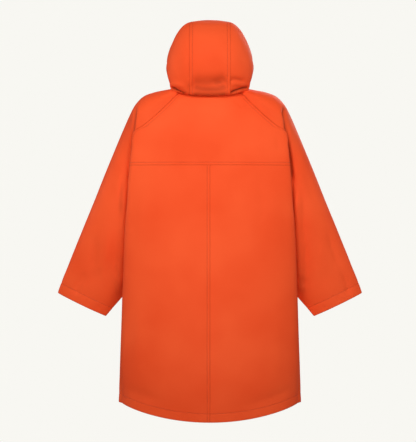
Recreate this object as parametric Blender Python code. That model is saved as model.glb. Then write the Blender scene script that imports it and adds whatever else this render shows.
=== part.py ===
"""Hooded raglan parka, filled out as it is when worn, with no wearer inside.

Metres, +Z up. The front faces -Y and the wearer's left is at +X. The origin is the middle of the
neck opening, about level with the back neck seam. Sizes and tables are in millimetres, and MM
turns them into metres when a mesh is placed. Every panel is modelled on the wearer's left, and
mirrored for the right.
"""

import math
from collections import namedtuple

import bmesh
import bpy
import numpy as np

MM = 0.001

# Cloth and sewing
WALL = 1.6  # coated cloth
SEAM_HALF = 0.3  # each panel's edge is held back from the seam line by this much
HOOD_SEAM_HALF = 0.4  # and by more on the hood, where the panels meet at an angle
LAP = 20.0  # how far each front passes the centre line
LAP_DROP = WALL + 2 * SEAM_HALF  # the right front lies this far inside the left one
LAP_COVER = 22.0  # as far as this from the centre line,
LAP_RAMP = 26.0  # and comes out to its own place over this width

# Neck opening, where hood, yoke, sleeves and fronts meet: an oval, higher at the shoulders
NECK_HALF_WIDTH = 88.0
NECK_BACK_Y = 62.0
NECK_FRONT_Y = -78.0
NECK_BACK_Z = -5.0
NECK_SIDE_Z = 24.0
NECK_FRONT_Z = -70.0
BACK_RAGLAN_ANGLE = 54.0  # round the oval from the centre back
FRONT_RAGLAN_ANGLE = 125.0
HOOD_FRONT_ANGLE = 168.0
EDGE_RISE = 2  # how a curved edge climbs from the centre line to the side

# Press studs down the front lap
STUD_COUNT = 7
STUD_TOP_Z = -98.0
STUD_PITCH = 112.0
STUD_RADIUS = 7.5
STUD_HEIGHT = 3.0
STUD_ROUNDING = 1.8

# One level section of half a front or back panel. It starts at the centre line, turns through
# `turn` degrees of an oval to its edge, and then follows `tuck` of the run over to the far point.
PanelRow = namedtuple("PanelRow", "centre_z edge_z centre_y edge_x edge_y turn tuck over_x over_y")

BACK_TOP = (
    PanelRow(-12, -2, 77, 98, 60, 58, 0, 98, 60),
    PanelRow(-36, -30, 88, 125, 75, 62, 0, 125, 75),
    PanelRow(-64, -62, 95, 158, 83, 67, 0, 158, 83),
    PanelRow(-92, -95, 99.5, 197, 85, 76, 0, 200, 30),
    PanelRow(-118, -118, 103, 229.5, 78, 90, 0, 210, -20),
    PanelRow(-165, -165, 109, 235.5, 80, 90, 0.15, 208, -35),
    PanelRow(-217, -217, 113.5, 241, 82, 90, 0.25, 205, -42),
    PanelRow(-276, -276, 117.5, 246, 80, 90, 0.36, 204, -50),
)
FRONT_TOP = (
    PanelRow(-82, -15, -86, 86, -60, 57, 0, 86, -60),
    PanelRow(-98, -38, -94, 104, -72, 60, 0, 104, -72),
    PanelRow(-118, -65, -101, 124, -81, 64, 0, 124, -81),
    PanelRow(-142, -96, -107, 145, -87, 69, 0, 145, -87),
    PanelRow(-170, -132, -112, 165, -88, 75, 0, 200, 60),
    PanelRow(-205, -175, -117, 183, -84, 82, 0, 235, 80),
    PanelRow(-245, -226, -121, 196, -72, 90, 0, 242, 82),
    PanelRow(-287, -276, -124, 204, -50, 90, 0.25, 246, 80),
)

# From the underarm to the hem the body is a closed tube. The lip is the fold that hangs over the
# sleeve at the back, the side is where the front turns, and the side seam is half-way between.
BodyRow = namedtuple(
    "BodyRow", "back_z side_z front_z back_y lip_x lip_y side_x side_y front_y"
)
BODY = (
    BodyRow(-330, -330, -330, 120.5, 249.5, 76, 205, -50, -127),
    BodyRow(-400, -400, -400, 123, 256, 64, 203, -55, -129),
    BodyRow(-480, -480, -480, 125, 260.6, 50, 206, -58, -131),
    BodyRow(-545, -545, -545, 127, 263.6, 41, 213, -60, -133),
    BodyRow(-600, -600, -600, 129, 266, 33, 226, -56, -135),
    BodyRow(-675, -675, -675, 132, 269, 23, 250, -45, -138),
    BodyRow(-800, -800, -800, 137, 273.5, 10, 268, -28, -142),
    BodyRow(-982, -937, -957, 144, 278.5, 0, 277, -12, -147),
)
SIDE_SEAM = 0.5
TUCK_COLUMNS = 0.4  # the share of a panel's columns that a run of 1 past its edge would take
YOKE_ROW = 7  # the yoke seam runs along this row of the back
UNDERARM_ROW = 9  # both raglan seams end here

# Sleeve rings from the neck to the underarm: the top of the sleeve, how far the ring swells to
# the back and the front, and where between seam and top it does so.
RaglanRing = namedtuple("RaglanRing", "top_x top_y top_z back_y front_y middle")
RAGLAN = (
    RaglanRing(88, 0, 24, 37, -45, 0.35),
    RaglanRing(112, -2, 20, 60.5, -61, 0.35),
    RaglanRing(140, -4, 15, 76, -74, 0.35),
    RaglanRing(170, -6, 9, 84, -84, 0.35),
    RaglanRing(202, -8, -3, 86, -92, 0.35),
    RaglanRing(228, -10, -29, 78, -97, 0.35),
    RaglanRing(248, -13, -65, 66, -99, 0.35),
    RaglanRing(267, -16, -108, 57, -100, 0.37),
    RaglanRing(290.6, -20, -164, 49, -99, 0.4),
    RaglanRing(323.5, -24, -243, 42, -96, 0.45),
)
RAGLAN_FOLD_AT_FULL_LIFT = 0.6
NECK_CORNER_FADE = 8  # how soon the raglan gap at the neck dies out round the ring
# Below the underarm the rings are closed, and start at the underarm seam.
SleeveRing = namedtuple("SleeveRing", "seam_x seam_y seam_z top_x top_y top_z back_y front_y")
SLEEVE = (
    SleeveRing(230, -8, -405, 354, -28, -319, 32, -92),
    SleeveRing(229, -28, -490, 389.5, -36, -404, 16, -88),
    SleeveRing(233, -42, -553, 422, -46, -482, -1, -87),
    SleeveRing(249, -50, -592.5, 446, -52, -541.5, -14, -88),
    SleeveRing(284, -56, -633.5, 460, -56, -574.5, -23, -89),
    SleeveRing(322.5, -60, -678.5, 471, -60, -606, -31, -89),
)
SLEEVE_MIDDLE = 0.5
UNDERARM_HALF = 0.2  # the two halves' inner corners are held back by this much
UNDERARM_OFF = 0.15  # and the seam's upper end stands off the body by this much more
# The fold of the body carries on up the back of the sleeve to the shoulder. The sleeve is drawn in
# beside it, and the draw fades at the shoulder and again where the body itself takes the fold over.
FOLD_X = 219.0
FOLD_TOP_Z = -25.0
FOLD_SLOPE = 0.12
FOLD_DEPTH = 11.0
FOLD_DROP = 10.0
FOLD_RETURN = 45.0
FOLD_TOP_FADE = 65.0
FOLD_END_Z = -180.0
FOLD_END_FADE = 90.0

# Hood arches from the neck seam up over the head to the face edge: the centre of the middle
# strip, its seam, the widest point of the side, where the arch ends round the neck oval, and how
# steeply the cloth climbs from there.
HoodArch = namedtuple(
    "HoodArch", "centre_y centre_z seam_y seam_z wide_x wide_y wide_z end_angle climb"
)
HOOD = (
    HoodArch(92, -8, 84, -4.5, 111.5, 50, 20, 94, 25),
    HoodArch(111, 24, 102, 26, 123.5, 50, 40, 99, 32),
    HoodArch(119, 70, 110, 70, 130, 42, 64, 106, 40),
    HoodArch(111, 130, 103, 126, 133.5, 25, 84, 114, 48),
    HoodArch(79, 187, 73, 181, 133.5, 5, 90, 124, 56),
    HoodArch(25, 225, 22, 219, 131, -20, 88, 136, 64),
    HoodArch(-45, 230, -45, 224, 123, -55, 76, 150, 72),
    HoodArch(-120, 208, -118, 202, 104, -100, 56, HOOD_FRONT_ANGLE, 80),
)
HOOD_SEAM_X = 61.3
HOOD_UPPER_FULLNESS = 0.5
HOOD_LOWER_FULLNESS = 0.36
NECK_LIFT_BACK = 2.5  # the hood lies back over the yoke, so its edge stands clear of it
NECK_LIFT_FRONT = 2.4
NECK_LIFT_FROM = 120.0  # the lift changes from this angle
NECK_LIFT_OVER = 40.0  # over this many degrees

# How finely the panels are divided
BACK_COLUMNS = 9
FRONT_COLUMNS = 10
LAP_COLUMNS = 3  # of the front's, across the lap and the strip that it covers
ARC_COLUMNS = 4  # in each quarter of a sleeve ring
TOP_STRIP = 0.03  # and a narrow one, this share of the half ring, along the seam over the arm
HOOD_STRIP_COLUMNS = 6
HOOD_SIDE_COLUMNS = 10
HOOD_ROWS = 16

ROW_STEP = 0.02  # the step along the rows, or across them, that measures a direction

ORANGE = (0.80, 0.085, 0.030, 1.0)
STUD_ORANGE = (0.62, 0.060, 0.022, 1.0)


def smooth_step(share):
    """0 to 1 with a level start and end."""
    share = min(max(share, 0.0), 1.0)
    return share * share * (3 - 2 * share)


def between(rows, place):
    """The values at a fractional row, on a smooth curve through all the rows."""
    rows = [np.array(row, float) for row in rows]
    index = min(max(int(math.floor(place)), 0), len(rows) - 2)
    share = place - index
    here, there = rows[index], rows[index + 1]
    before = rows[index - 1] if index > 0 else 2 * here - there
    after = rows[index + 2] if index + 2 < len(rows) else 2 * there - here
    leaving, arriving = (there - before) / 2, (after - here) / 2
    bend = 2 * here - 2 * there + leaving + arriving
    lean = 3 * there - 3 * here - 2 * leaving - arriving
    return ((bend * share + lean) * share + leaving) * share + here


def unit(vector):
    return vector / np.linalg.norm(vector)


def neck_point(angle):
    """A point on the neck oval, by degrees round it from the centre back."""
    sine, cosine = math.sin(math.radians(angle)), math.cos(math.radians(angle))
    depth, low = (NECK_BACK_Y, NECK_BACK_Z) if angle < 90 else (-NECK_FRONT_Y, NECK_FRONT_Z)
    height = low + (NECK_SIDE_Z - low) * abs(sine) ** EDGE_RISE
    return np.array([NECK_HALF_WIDTH * sine, depth * cosine, height])


def neck_row(angle, centre_y, centre_z):
    """The top row of a front or back panel, which follows the neck oval as far as the raglan."""
    edge = neck_point(angle)
    turn = angle if angle < 90 else 180 - angle
    return PanelRow(centre_z, edge[2], centre_y, edge[0], edge[1], turn, 0, edge[0], edge[1])


def back_rows():
    rows = [neck_row(BACK_RAGLAN_ANGLE, NECK_BACK_Y, NECK_BACK_Z), *BACK_TOP]
    for row in BODY:
        lip, side = (row.lip_x, row.lip_y), (row.side_x, row.side_y)
        rows.append(PanelRow(row.back_z, row.side_z, row.back_y, *lip, 90, SIDE_SEAM, *side))
    return rows


def front_rows():
    rows = [neck_row(FRONT_RAGLAN_ANGLE, NECK_FRONT_Y, NECK_FRONT_Z), *FRONT_TOP]
    for row in BODY:
        lip, side = (row.lip_x, row.lip_y), (row.side_x, row.side_y)
        rows.append(PanelRow(row.front_z, row.side_z, row.front_y, *side, 90, SIDE_SEAM, *lip))
    return rows


BACK = back_rows()
FRONT = front_rows()
HEM_ROW = len(BACK) - 1


def panel_point(row, reach):
    """A point of a panel section. Reach is 0 at the centre, 1 at the edge and 1 + tuck at its end."""
    row = PanelRow(*row)
    turn = math.radians(row.turn)
    angle = min(reach, 1.0) * turn
    across = math.sin(angle) / math.sin(turn)
    x = row.edge_x * across
    flat = (math.cos(angle) - math.cos(turn)) / (1 - math.cos(turn))
    y = row.edge_y + (row.centre_y - row.edge_y) * flat
    z = row.centre_z + (row.edge_z - row.centre_z) * across**EDGE_RISE
    if reach > 1:
        over = reach - 1
        x += (row.over_x - row.edge_x) * smooth_step(over)
        y += (row.over_y - row.edge_y) * over
    return np.array([x, y, z])


def tuck_of(row):
    """How much of the run past its edge a section follows, never past the side seam."""
    return min(max(row[6], 0.0), SIDE_SEAM)


def reach_at(row, share):
    """Reach for a share of the columns, giving the tuck its part of them."""
    tuck = tuck_of(row)
    turned = 1 - TUCK_COLUMNS * tuck
    return share / turned if share <= turned else 1 + (share - turned) / (1 - turned) * tuck


def reach_of_x(row, x):
    """Reach where a section passes x."""
    row = PanelRow(*row)
    turn = math.radians(row.turn)
    return math.asin(x / row.edge_x * math.sin(turn)) / turn


def seam_point(rows, place):
    """Where a section meets the raglan seam or the side seam."""
    row = between(rows, place)
    return panel_point(row, 1 + tuck_of(row))


def trimmed(rows, place, share):
    """Column share, held back square to the seam at the panel's edge."""
    row = between(rows, place)
    across = (seam_point(rows, place) - panel_point(row, reach_at(row, 1 - ROW_STEP))) / ROW_STEP
    along = unit(seam_point(rows, place + ROW_STEP) - seam_point(rows, place - ROW_STEP))
    width = np.linalg.norm(across - along * np.dot(along, across))
    return share * (1 - SEAM_HALF / width)


def back_point(place, share):
    """A point of the left half of the back: place in rows from the neck, share of the width."""
    row = between(BACK, place)
    return panel_point(row, reach_at(row, trimmed(BACK, place, share)))


def front_inward(place):
    """The way into the body, square to the centre front."""
    above = panel_point(between(FRONT, max(place - ROW_STEP, 0)), 0)
    below = panel_point(between(FRONT, place + ROW_STEP), 0)
    down = unit(below - above)
    return np.array([0.0, -down[2], down[1]])


def front_point(place, share, lapped_under):
    """A point of a front. The first columns are the lap and the strip that it covers."""
    row = between(FRONT, place)
    near = (-LAP, 0.0, LAP_COVER, LAP_COVER + LAP_RAMP)
    column = share * FRONT_COLUMNS
    if column <= LAP_COLUMNS:
        x = np.interp(column, range(LAP_COLUMNS + 1), near)
        point = panel_point(row, reach_of_x(row, abs(x)))
        point[0] = x
    else:
        first = reach_of_x(row, near[-1]) * (1 - TUCK_COLUMNS * tuck_of(row))
        onward = (column - LAP_COLUMNS) / (FRONT_COLUMNS - LAP_COLUMNS)
        share = trimmed(FRONT, place, first + (1 - first) * onward)
        point = panel_point(row, reach_at(row, share))
    if lapped_under:
        point += front_inward(place) * LAP_DROP * smooth_step((near[-1] - point[0]) / LAP_RAMP)
    return point


def raglan_edge(rows, place, outward):
    """The way on past a raglan seam, and the way out of the cloth, both square to the seam."""
    place = min(max(place, ROW_STEP), UNDERARM_ROW - ROW_STEP)
    row = between(rows, place)
    past = seam_point(rows, place) - panel_point(row, 1 + tuck_of(row) - ROW_STEP)
    along = unit(seam_point(rows, place + ROW_STEP) - seam_point(rows, place - ROW_STEP))
    past = unit(past - along * np.dot(past, along))
    return past, np.cross(past, along) * outward


def sewn_to(rows, place, outward, leaving):
    """The sleeve's edge at a raglan seam, which stands off the panel where it folds back on it.

    `fold` is 0 where the sleeve runs straight on and 2 where it lies back on the panel.
    """
    past, out = raglan_edge(rows, place, outward)
    onward, away = float(np.dot(leaving, past)), float(np.dot(leaving, out))
    fold = 1 - onward / math.hypot(onward, away)
    lift = WALL / 2 * fold + 2 * SEAM_HALF * min(fold / RAGLAN_FOLD_AT_FULL_LIFT, 1.0)
    return seam_point(rows, place) + out * lift + past * SEAM_HALF * max(2 - fold, 0.0)


def swell(seam, top, y, middle, share):
    """From the seam to where the ring is fullest, leaving at a slant and arriving level."""
    point = seam + (top - seam) * middle * share
    point[1] = seam[1] + (y - seam[1]) * (1 - (1 - share) ** 2)
    return point


def crown(seam, top, y, middle, share):
    """From where the ring is fullest over to the top of the sleeve, a quarter of an oval."""
    angle = share * math.pi / 2
    full = seam + (top - seam) * middle
    point = full + (top - full) * math.sin(angle)
    point[1] = top[1] + (y - top[1]) * math.cos(angle)
    return point


def ring_side(seam, top, y, middle, share):
    """Half a sleeve ring, from its seam (share 0) to its top (share 1)."""
    if share < 0.5:
        return swell(seam, top, y, middle, share * 2)
    return crown(seam, top, y, middle, share * 2 - 1)


def fold_depth(point):
    """How deep the back of the sleeve is drawn in beside the fold that hangs over it."""
    fold_x = FOLD_X + (FOLD_TOP_Z - point[2]) * FOLD_SLOPE
    past = point[0] - fold_x
    drawn_in = smooth_step(past / FOLD_DROP) * (1 - smooth_step((past - FOLD_DROP) / FOLD_RETURN))
    from_shoulder = smooth_step((FOLD_TOP_Z - point[2]) / FOLD_TOP_FADE)
    to_body = 1 - smooth_step((FOLD_END_Z - point[2]) / FOLD_END_FADE)
    return FOLD_DEPTH * drawn_in * from_shoulder * to_body


def sleeve_ring(place):
    """Seams, top, swell and middle of the sleeve at a fractional ring."""
    shared = [(*ring[:3], ring.back_y, ring.front_y, ring.middle) for ring in RAGLAN]
    shared += [(*ring[3:6], ring.back_y, ring.front_y, SLEEVE_MIDDLE) for ring in SLEEVE]
    values = between(shared, place)
    top, back_y, front_y, middle = values[:3], values[3], values[4], values[5]
    seams = []
    for rows, outward, y in ((BACK, 1, back_y), (FRONT, -1, front_y)):
        raglan_place = min(place, UNDERARM_ROW)
        seam = seam_point(rows, raglan_place)
        leaving = (top - seam) * middle
        leaving[1] = 2 * (y - seam[1])
        seams.append(sewn_to(rows, raglan_place, outward, leaving))
    if place >= UNDERARM_ROW:
        underarm = (seams[0] + seams[1]) / 2
        underarm[0] += UNDERARM_OFF
        line = [underarm, *(ring[:3] for ring in SLEEVE)]
        seam = between(line, place - UNDERARM_ROW)
        seams = [parted(seam, top, y, middle) for y in (back_y, front_y)]
    return seams, top, back_y, front_y, middle


def parted(seam, top, y, middle):
    """The edge of one half of the sleeve at the underarm seam, which the halves meet at an angle."""
    run = math.hypot(top[0] - seam[0], top[2] - seam[2]) * middle
    slope = run / math.hypot(run, 2 * (y - seam[1]))
    edge = seam.copy()
    edge[1] += math.copysign(WALL / 2 * slope + UNDERARM_HALF, y - seam[1])
    return edge


def sleeve_point(place, share):
    """A point of the sleeve: share runs from the back seam over the top to the front seam."""
    (back_seam, front_seam), top, back_y, front_y, middle = sleeve_ring(place)
    if share <= 0.5:
        point = ring_side(back_seam, top, back_y, middle, share * 2)
        point[1] -= fold_depth(point)
    else:
        point = ring_side(front_seam, top, front_y, middle, 2 - share * 2)
    if place < 1:
        angle = BACK_RAGLAN_ANGLE + (FRONT_RAGLAN_ANGLE - BACK_RAGLAN_ANGLE) * share
        blend = 1 - smooth_step(place)
        point += (neck_point(angle) - ring_side_at_neck(share)) * blend
    return point


def ring_side_at_neck(share):
    """The ring's own shape at the neck, before it is drawn to the neck oval."""
    (back_seam, front_seam), top, back_y, front_y, middle = sleeve_ring(0.0)
    if share <= 0.5:
        point = ring_side(back_seam, top, back_y, middle, share * 2)
        past, _ = raglan_edge(BACK, 0.0, 1)
    else:
        point = ring_side(front_seam, top, front_y, middle, 2 - share * 2)
        past, _ = raglan_edge(FRONT, 0.0, -1)
    return point - past * SEAM_HALF * abs(2 * share - 1) ** NECK_CORNER_FADE


def curved(start, near, far, end, share):
    """A curve from start to end that leaves towards near and arrives from far."""
    rest = 1 - share
    return (
        rest**3 * start
        + 3 * rest**2 * share * near
        + 3 * rest * share**2 * far
        + share**3 * end
    )


def lifted_neck_point(angle):
    """Where the hood's lower edge stands above the neck oval."""
    point = neck_point(angle)
    share = smooth_step((angle - NECK_LIFT_FROM) / NECK_LIFT_OVER)
    point[2] += NECK_LIFT_BACK + (NECK_LIFT_FRONT - NECK_LIFT_BACK) * share
    return point


def neck_angle_of_x(x):
    return math.degrees(math.asin(x / NECK_HALF_WIDTH))


def strip_arch(index, share):
    """A point across the hood's middle strip on one arch, share -1 to 1."""
    x = share * (HOOD_SEAM_X - HOOD_SEAM_HALF)
    if index == 0:
        point = lifted_neck_point(neck_angle_of_x(abs(x)))
        point[0] = x
        return point
    arch = HOOD[index - 1]
    y = arch.centre_y + (arch.seam_y - arch.centre_y) * share**2
    z = arch.centre_z + (arch.seam_z - arch.centre_z) * share**2
    return np.array([x, y, z])


def side_arch(index, share):
    """A point of the hood's side on one arch, from the strip's seam (0) to the neck (1)."""
    if index == 0:
        start = neck_angle_of_x(HOOD_SEAM_X + HOOD_SEAM_HALF)
        return lifted_neck_point(start + (90 - start) * share)
    arch = HOOD[index - 1]
    seam = np.array([HOOD_SEAM_X + HOOD_SEAM_HALF, arch.seam_y, arch.seam_z])
    wide = np.array([arch.wide_x, arch.wide_y, arch.wide_z])
    end = lifted_neck_point(arch.end_angle)
    if share < 0.5:
        slope = 2 * (seam - (0, arch.centre_y, arch.centre_z)) / HOOD_SEAM_X
        corner = seam + slope * (wide[0] - seam[0])
        corner[0] = wide[0]
        near = seam + (corner - seam) * HOOD_UPPER_FULLNESS
        far = wide + (corner - wide) * HOOD_UPPER_FULLNESS
        return curved(seam, near, far, wide, share * 2)
    down = unit(np.array([0.0, wide[1] - seam[1], wide[2] - seam[2]]))
    handle = HOOD_LOWER_FULLNESS * float(np.linalg.norm(end - wide))
    climb = math.radians(arch.climb)
    outward = unit(np.array([end[0], end[1], 0.0])) * math.cos(climb)
    outward[2] = math.sin(climb)
    return curved(wide, wide + down * handle, end + outward * handle, end, share * 2 - 1)


def over_arches(arch, row, share):
    """A point of the hood between its arches."""
    return between([arch(index, share) for index in range(len(HOOD) + 1)], row)


def cloth_material(name, colour, roughness):
    material = bpy.data.materials.new(name)
    material.use_nodes = True
    shader = material.node_tree.nodes["Principled BSDF"]
    shader.inputs["Base Color"].default_value = colour
    shader.inputs["Roughness"].default_value = roughness
    shader.inputs["Metallic"].default_value = 0.0
    return material


def add_object(name, mesh, colour, roughness):
    mesh.shade_smooth()
    mesh.materials.append(cloth_material(name + "_material", colour, roughness))
    piece = bpy.data.objects.new(name, mesh)
    bpy.context.scene.collection.objects.link(piece)
    return piece


def add_panel(name, columns, row_places, place, flip=False, mirrored=False):
    """A cloth panel: a grid whose point (share across, row place) goes where `place` says."""
    form = bmesh.new()
    rows = len(row_places) - 1
    bmesh.ops.create_grid(form, x_segments=columns, y_segments=rows, size=0.5)
    for vertex in form.verts:
        share = round((vertex.co.x + 0.5) * columns) / columns
        row = round((vertex.co.y + 0.5) * rows)
        vertex.co = place(row_places[row], share) * MM
        if mirrored:
            vertex.co.x = -vertex.co.x
    if flip != mirrored:
        bmesh.ops.reverse_faces(form, faces=form.faces)
    bmesh.ops.remove_doubles(form, verts=form.verts, dist=1e-6)
    mesh = bpy.data.meshes.new(name)
    form.to_mesh(mesh)
    form.free()
    panel = add_object(name, mesh, ORANGE, 0.55)
    wall = panel.modifiers.new("wall", "SOLIDIFY")
    wall.thickness = WALL * MM
    wall.offset = 0.0
    return panel


def row_steps(first, last, halved_from):
    """Row places from first to last, with a place half-way between rows from halved_from on."""
    places = []
    for row in range(first, last):
        places.append(float(row))
        if row >= halved_from:
            places.append(row + 0.5)
    places.append(float(last))
    return places


def add_yoke():
    places = row_steps(0, YOKE_ROW, YOKE_ROW)
    places[-1] -= SEAM_HALF / (BACK[YOKE_ROW - 1].centre_z - BACK[YOKE_ROW].centre_z)

    def place(row, share):
        side = 2 * share - 1
        point = back_point(row, abs(side))
        point[0] *= math.copysign(1, side)
        return point

    add_panel("back_yoke", 2 * BACK_COLUMNS, places, place, flip=True)


def add_backs():
    places = row_steps(YOKE_ROW, HEM_ROW, UNDERARM_ROW - 1)
    places[0] += SEAM_HALF / (BACK[YOKE_ROW].centre_z - BACK[YOKE_ROW + 1].centre_z)

    def place(row, share):
        point = back_point(row, share)
        point[0] = max(point[0], SEAM_HALF)
        return point

    add_panel("back_left", BACK_COLUMNS, places, place, flip=True)
    add_panel("back_right", BACK_COLUMNS, places, place, flip=True, mirrored=True)


def add_fronts():
    places = row_steps(0, HEM_ROW, UNDERARM_ROW - 1)
    for name, under in (("front_left", False), ("front_right", True)):

        def place(row, share, under=under):
            return front_point(row, share, under)

        add_panel(name, FRONT_COLUMNS, places, place, mirrored=under)


def add_sleeves():
    """Each sleeve is cut as a back and a front, which meet along the top of the arm."""
    cuff = len(RAGLAN) + len(SLEEVE) - 1
    places = row_steps(0, cuff, UNDERARM_ROW - 1)
    columns = 2 * ARC_COLUMNS + 1
    half_shares = [column / (columns - 1) for column in range(columns - 1)]
    half_shares += [1 - TOP_STRIP, 1.0]

    def back(row, share):
        share = half_shares[round(share * columns)]
        point = sleeve_point(row, share / 2)
        point[1] += SEAM_HALF if share == 1 else 0
        return point

    def front(row, share):
        share = half_shares[columns - round(share * columns)]
        point = sleeve_point(row, 1 - share / 2)
        point[1] -= SEAM_HALF if share == 1 else 0
        return point

    for side, mirrored in (("left", False), ("right", True)):
        add_panel(f"sleeve_{side}_back", columns, places, back, flip=True, mirrored=mirrored)
        add_panel(f"sleeve_{side}_front", columns, places, front, flip=True, mirrored=mirrored)


def add_hood():
    places = [row * len(HOOD) / HOOD_ROWS for row in range(HOOD_ROWS + 1)]

    def strip(row, share):
        return over_arches(strip_arch, row, 2 * share - 1)

    def side(row, share):
        return over_arches(side_arch, row, share)

    add_panel("hood_center", HOOD_STRIP_COLUMNS, places, strip)
    add_panel("hood_left", HOOD_SIDE_COLUMNS, places, side)
    add_panel("hood_right", HOOD_SIDE_COLUMNS, places, side, mirrored=True)


def front_place_at(z):
    """The row place where the centre front passes a height."""
    low, high = 0.0, float(HEM_ROW)
    for _ in range(40):
        middle = (low + high) / 2
        if between(FRONT, middle)[0] > z:
            low = middle
        else:
            high = middle
    return low


def add_studs():
    for number in range(STUD_COUNT):
        z = STUD_TOP_Z - number * STUD_PITCH
        place = front_place_at(z)
        here = panel_point(between(FRONT, place), 0.0)
        outward = -front_inward(place)
        seat = here + outward * (WALL / 2 + 2 * SEAM_HALF)
        form = bmesh.new()
        bmesh.ops.create_cone(
            form,
            cap_ends=True,
            segments=16,
            radius1=STUD_RADIUS * MM,
            radius2=STUD_RADIUS * MM,
            depth=STUD_HEIGHT * MM,
        )
        middle = STUD_HEIGHT / 2 * MM
        bmesh.ops.translate(form, verts=form.verts, vec=(0, 0, middle))
        rim = [edge for edge in form.edges if all(vert.co.z > middle for vert in edge.verts)]
        bmesh.ops.bevel(
            form,
            geom=rim,
            offset=STUD_ROUNDING * MM,
            segments=2,
            profile=0.5,
            affect="EDGES",
            material=-1,
        )
        mesh = bpy.data.meshes.new(f"stud_{number + 1}")
        form.to_mesh(mesh)
        form.free()
        stud = add_object(f"stud_{number + 1}", mesh, STUD_ORANGE, 0.35)
        stud.location = seat * MM
        stud.rotation_euler = (math.atan2(-outward[1], outward[2]), 0.0, 0.0)


def main():
    for leftover in list(bpy.data.objects):
        bpy.data.objects.remove(leftover)
    add_yoke()
    add_backs()
    add_fronts()
    add_sleeves()
    add_hood()
    add_studs()


main()
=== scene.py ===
"""Dresses the hooded raglan parka: cloth, sewing, press studs and a plain pale studio.

Every panel is laid out again as a fine grid on the form of its solid, with rows at the right
distances from its seams, and then gets its drags, its creases and its sewing. Sizes are in
millimetres unless a name or comment says otherwise, and MM turns them into metres when a mesh is
made. The front faces -Y and the wearer's left is at +X.
"""

import sys
import logging
import math
from collections.abc import Callable, Sequence
from dataclasses import dataclass, field
from enum import Enum

import bmesh
import bpy
import numpy as np
from mathutils import Matrix, Vector


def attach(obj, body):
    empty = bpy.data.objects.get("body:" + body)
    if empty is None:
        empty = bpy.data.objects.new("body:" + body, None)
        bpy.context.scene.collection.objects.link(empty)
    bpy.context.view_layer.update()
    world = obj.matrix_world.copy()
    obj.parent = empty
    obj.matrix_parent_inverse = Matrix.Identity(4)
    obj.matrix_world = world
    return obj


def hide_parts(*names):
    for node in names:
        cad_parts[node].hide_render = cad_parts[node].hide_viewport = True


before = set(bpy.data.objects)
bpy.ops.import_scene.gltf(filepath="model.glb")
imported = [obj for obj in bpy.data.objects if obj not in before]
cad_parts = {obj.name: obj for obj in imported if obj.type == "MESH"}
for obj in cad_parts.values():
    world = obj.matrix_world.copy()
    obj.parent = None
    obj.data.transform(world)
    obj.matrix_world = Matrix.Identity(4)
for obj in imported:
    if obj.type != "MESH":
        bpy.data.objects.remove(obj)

LOG = logging.getLogger("parka")
MM = 0.001
BODY_NAME = "root"

CLOTH = 1.2  # the thickness that is drawn
SEAM_HALF = 0.15  # how far each panel is held back from a seam line
EDGE_RISE = 2  # how a curved edge climbs from the centre line to the side
EDGE_STEP = 0.02  # the step along the rows, or across them, that measures a direction
UNDERARM_ROW = 9  # the table row at which the raglan seams end
RAGLAN_END = 0.1  # how far above it their topstitching ends
YOKE_ROW = 7  # the table row of the yoke's lower seam
TINY = 1e-12  # the least that anything is divided by

# an uneven ripple is a sum of waves, each with its height, rate and phase, under a slow swell
RIPPLES = ((1.0, 1.0, 1.0), (0.6, 0.618, 2.3), (0.45, 1.57, 4.1))
RIPPLE_HEIGHT = 1.6
SWELL_LEVEL = 0.55
SWELL_DEPTH = 0.45
SWELL_RATE = 0.131
SWELL_PHASE = 1.7

# the grid lines of a panel, as distances from its edge or from its stitch line
SEAM_MARKS = (0.0, 0.5, 1.1, 1.8, 2.8)
PLAIN_MARKS = (4.4, 7.0)  # further ones, where nothing is stitched down
FREE_MARKS = (0.0, 1.2, 2.6)
FREE_STEP = 4.6  # from one to the next on a turned edge
FREE_GAP = 4.5  # how far short of the stitches they end
STITCH_MARKS = (-2.6, -1.3, -0.6, 0.0, 0.6, 1.3, 2.6, 5.2)
EDGE_SHARE = 0.42  # the most of a line that the marks of one edge may take
LEAST_SQUARE = 0.3  # a line counts as no more slanted to the edge than this

# a crease's line is read more closely than it is given, and takes only cloth that faces its side
CREASE_POINTS = 8
CREASE_FALL = 1.7
SEEN_FROM = 0.02
SEEN_OVER = 0.3

# slack cloth hangs in drags that run nearly upright, and fade in and out on the way down
DRAG_WAY = (1.0, 0.6, 0.1)
FADE_WAY = (0.3, -0.5, -1.0)
FADE_PITCH = 2.2
FADE_SEED = 2.1
FADE_LEVEL = 0.6
FADE_DEPTH = 0.4

# an edge that is turned in: where the rows round its fold lie, and how the stitches pinch it
TURN_GAP = 2.2  # between the middles of the two layers
TURN_PAST = 2.7  # how far the turned cloth goes on past the stitches
TURN_DEGREES = (35, 70, 110, 145, 180)
TURN_RUN = 3.4  # the cloth's run round the fold
PINCH = 0.8
PINCH_REACH = 2.5

# an allowance under the next panel: the share of its reach, how far it sinks, and its run
ALLOWANCE = 8.0
ALLOWANCE_ROWS = ((0.08, 0.6, 0.8), (0.2, 1.2, 1.8), (0.5, 1.6, 4.2), (1.0, 1.7, 8.2))
SHALLOW_UNDER = 3.0  # an allowance with less reach than this sinks less

# the hood's allowance inside the neck: how far it goes in and down, and its run
NECK_ROWS = ((0.9, 0.5, 1.0), (1.5, 2.0, 2.7), (1.7, 5.0, 5.7), (1.9, 9.0, 9.7))

# the sockets of a Mix node for colours, and the repeat of a Wave Texture of scale 1, in metres
MIX_SHARE = 0
MIX_FIRST = 6
MIX_SECOND = 7
MIX_RESULT = 2
WAVE_REPEAT = 0.314


# ---------------------------------------------------------------- sums on rows of points


def smooth_step(share: np.ndarray | float) -> np.ndarray:
    """Ease from 0 to 1 with a level start and end; below 0 gives 0 and above 1 gives 1."""
    share = np.clip(share, 0.0, 1.0)
    return share * share * (3 - 2 * share)


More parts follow.
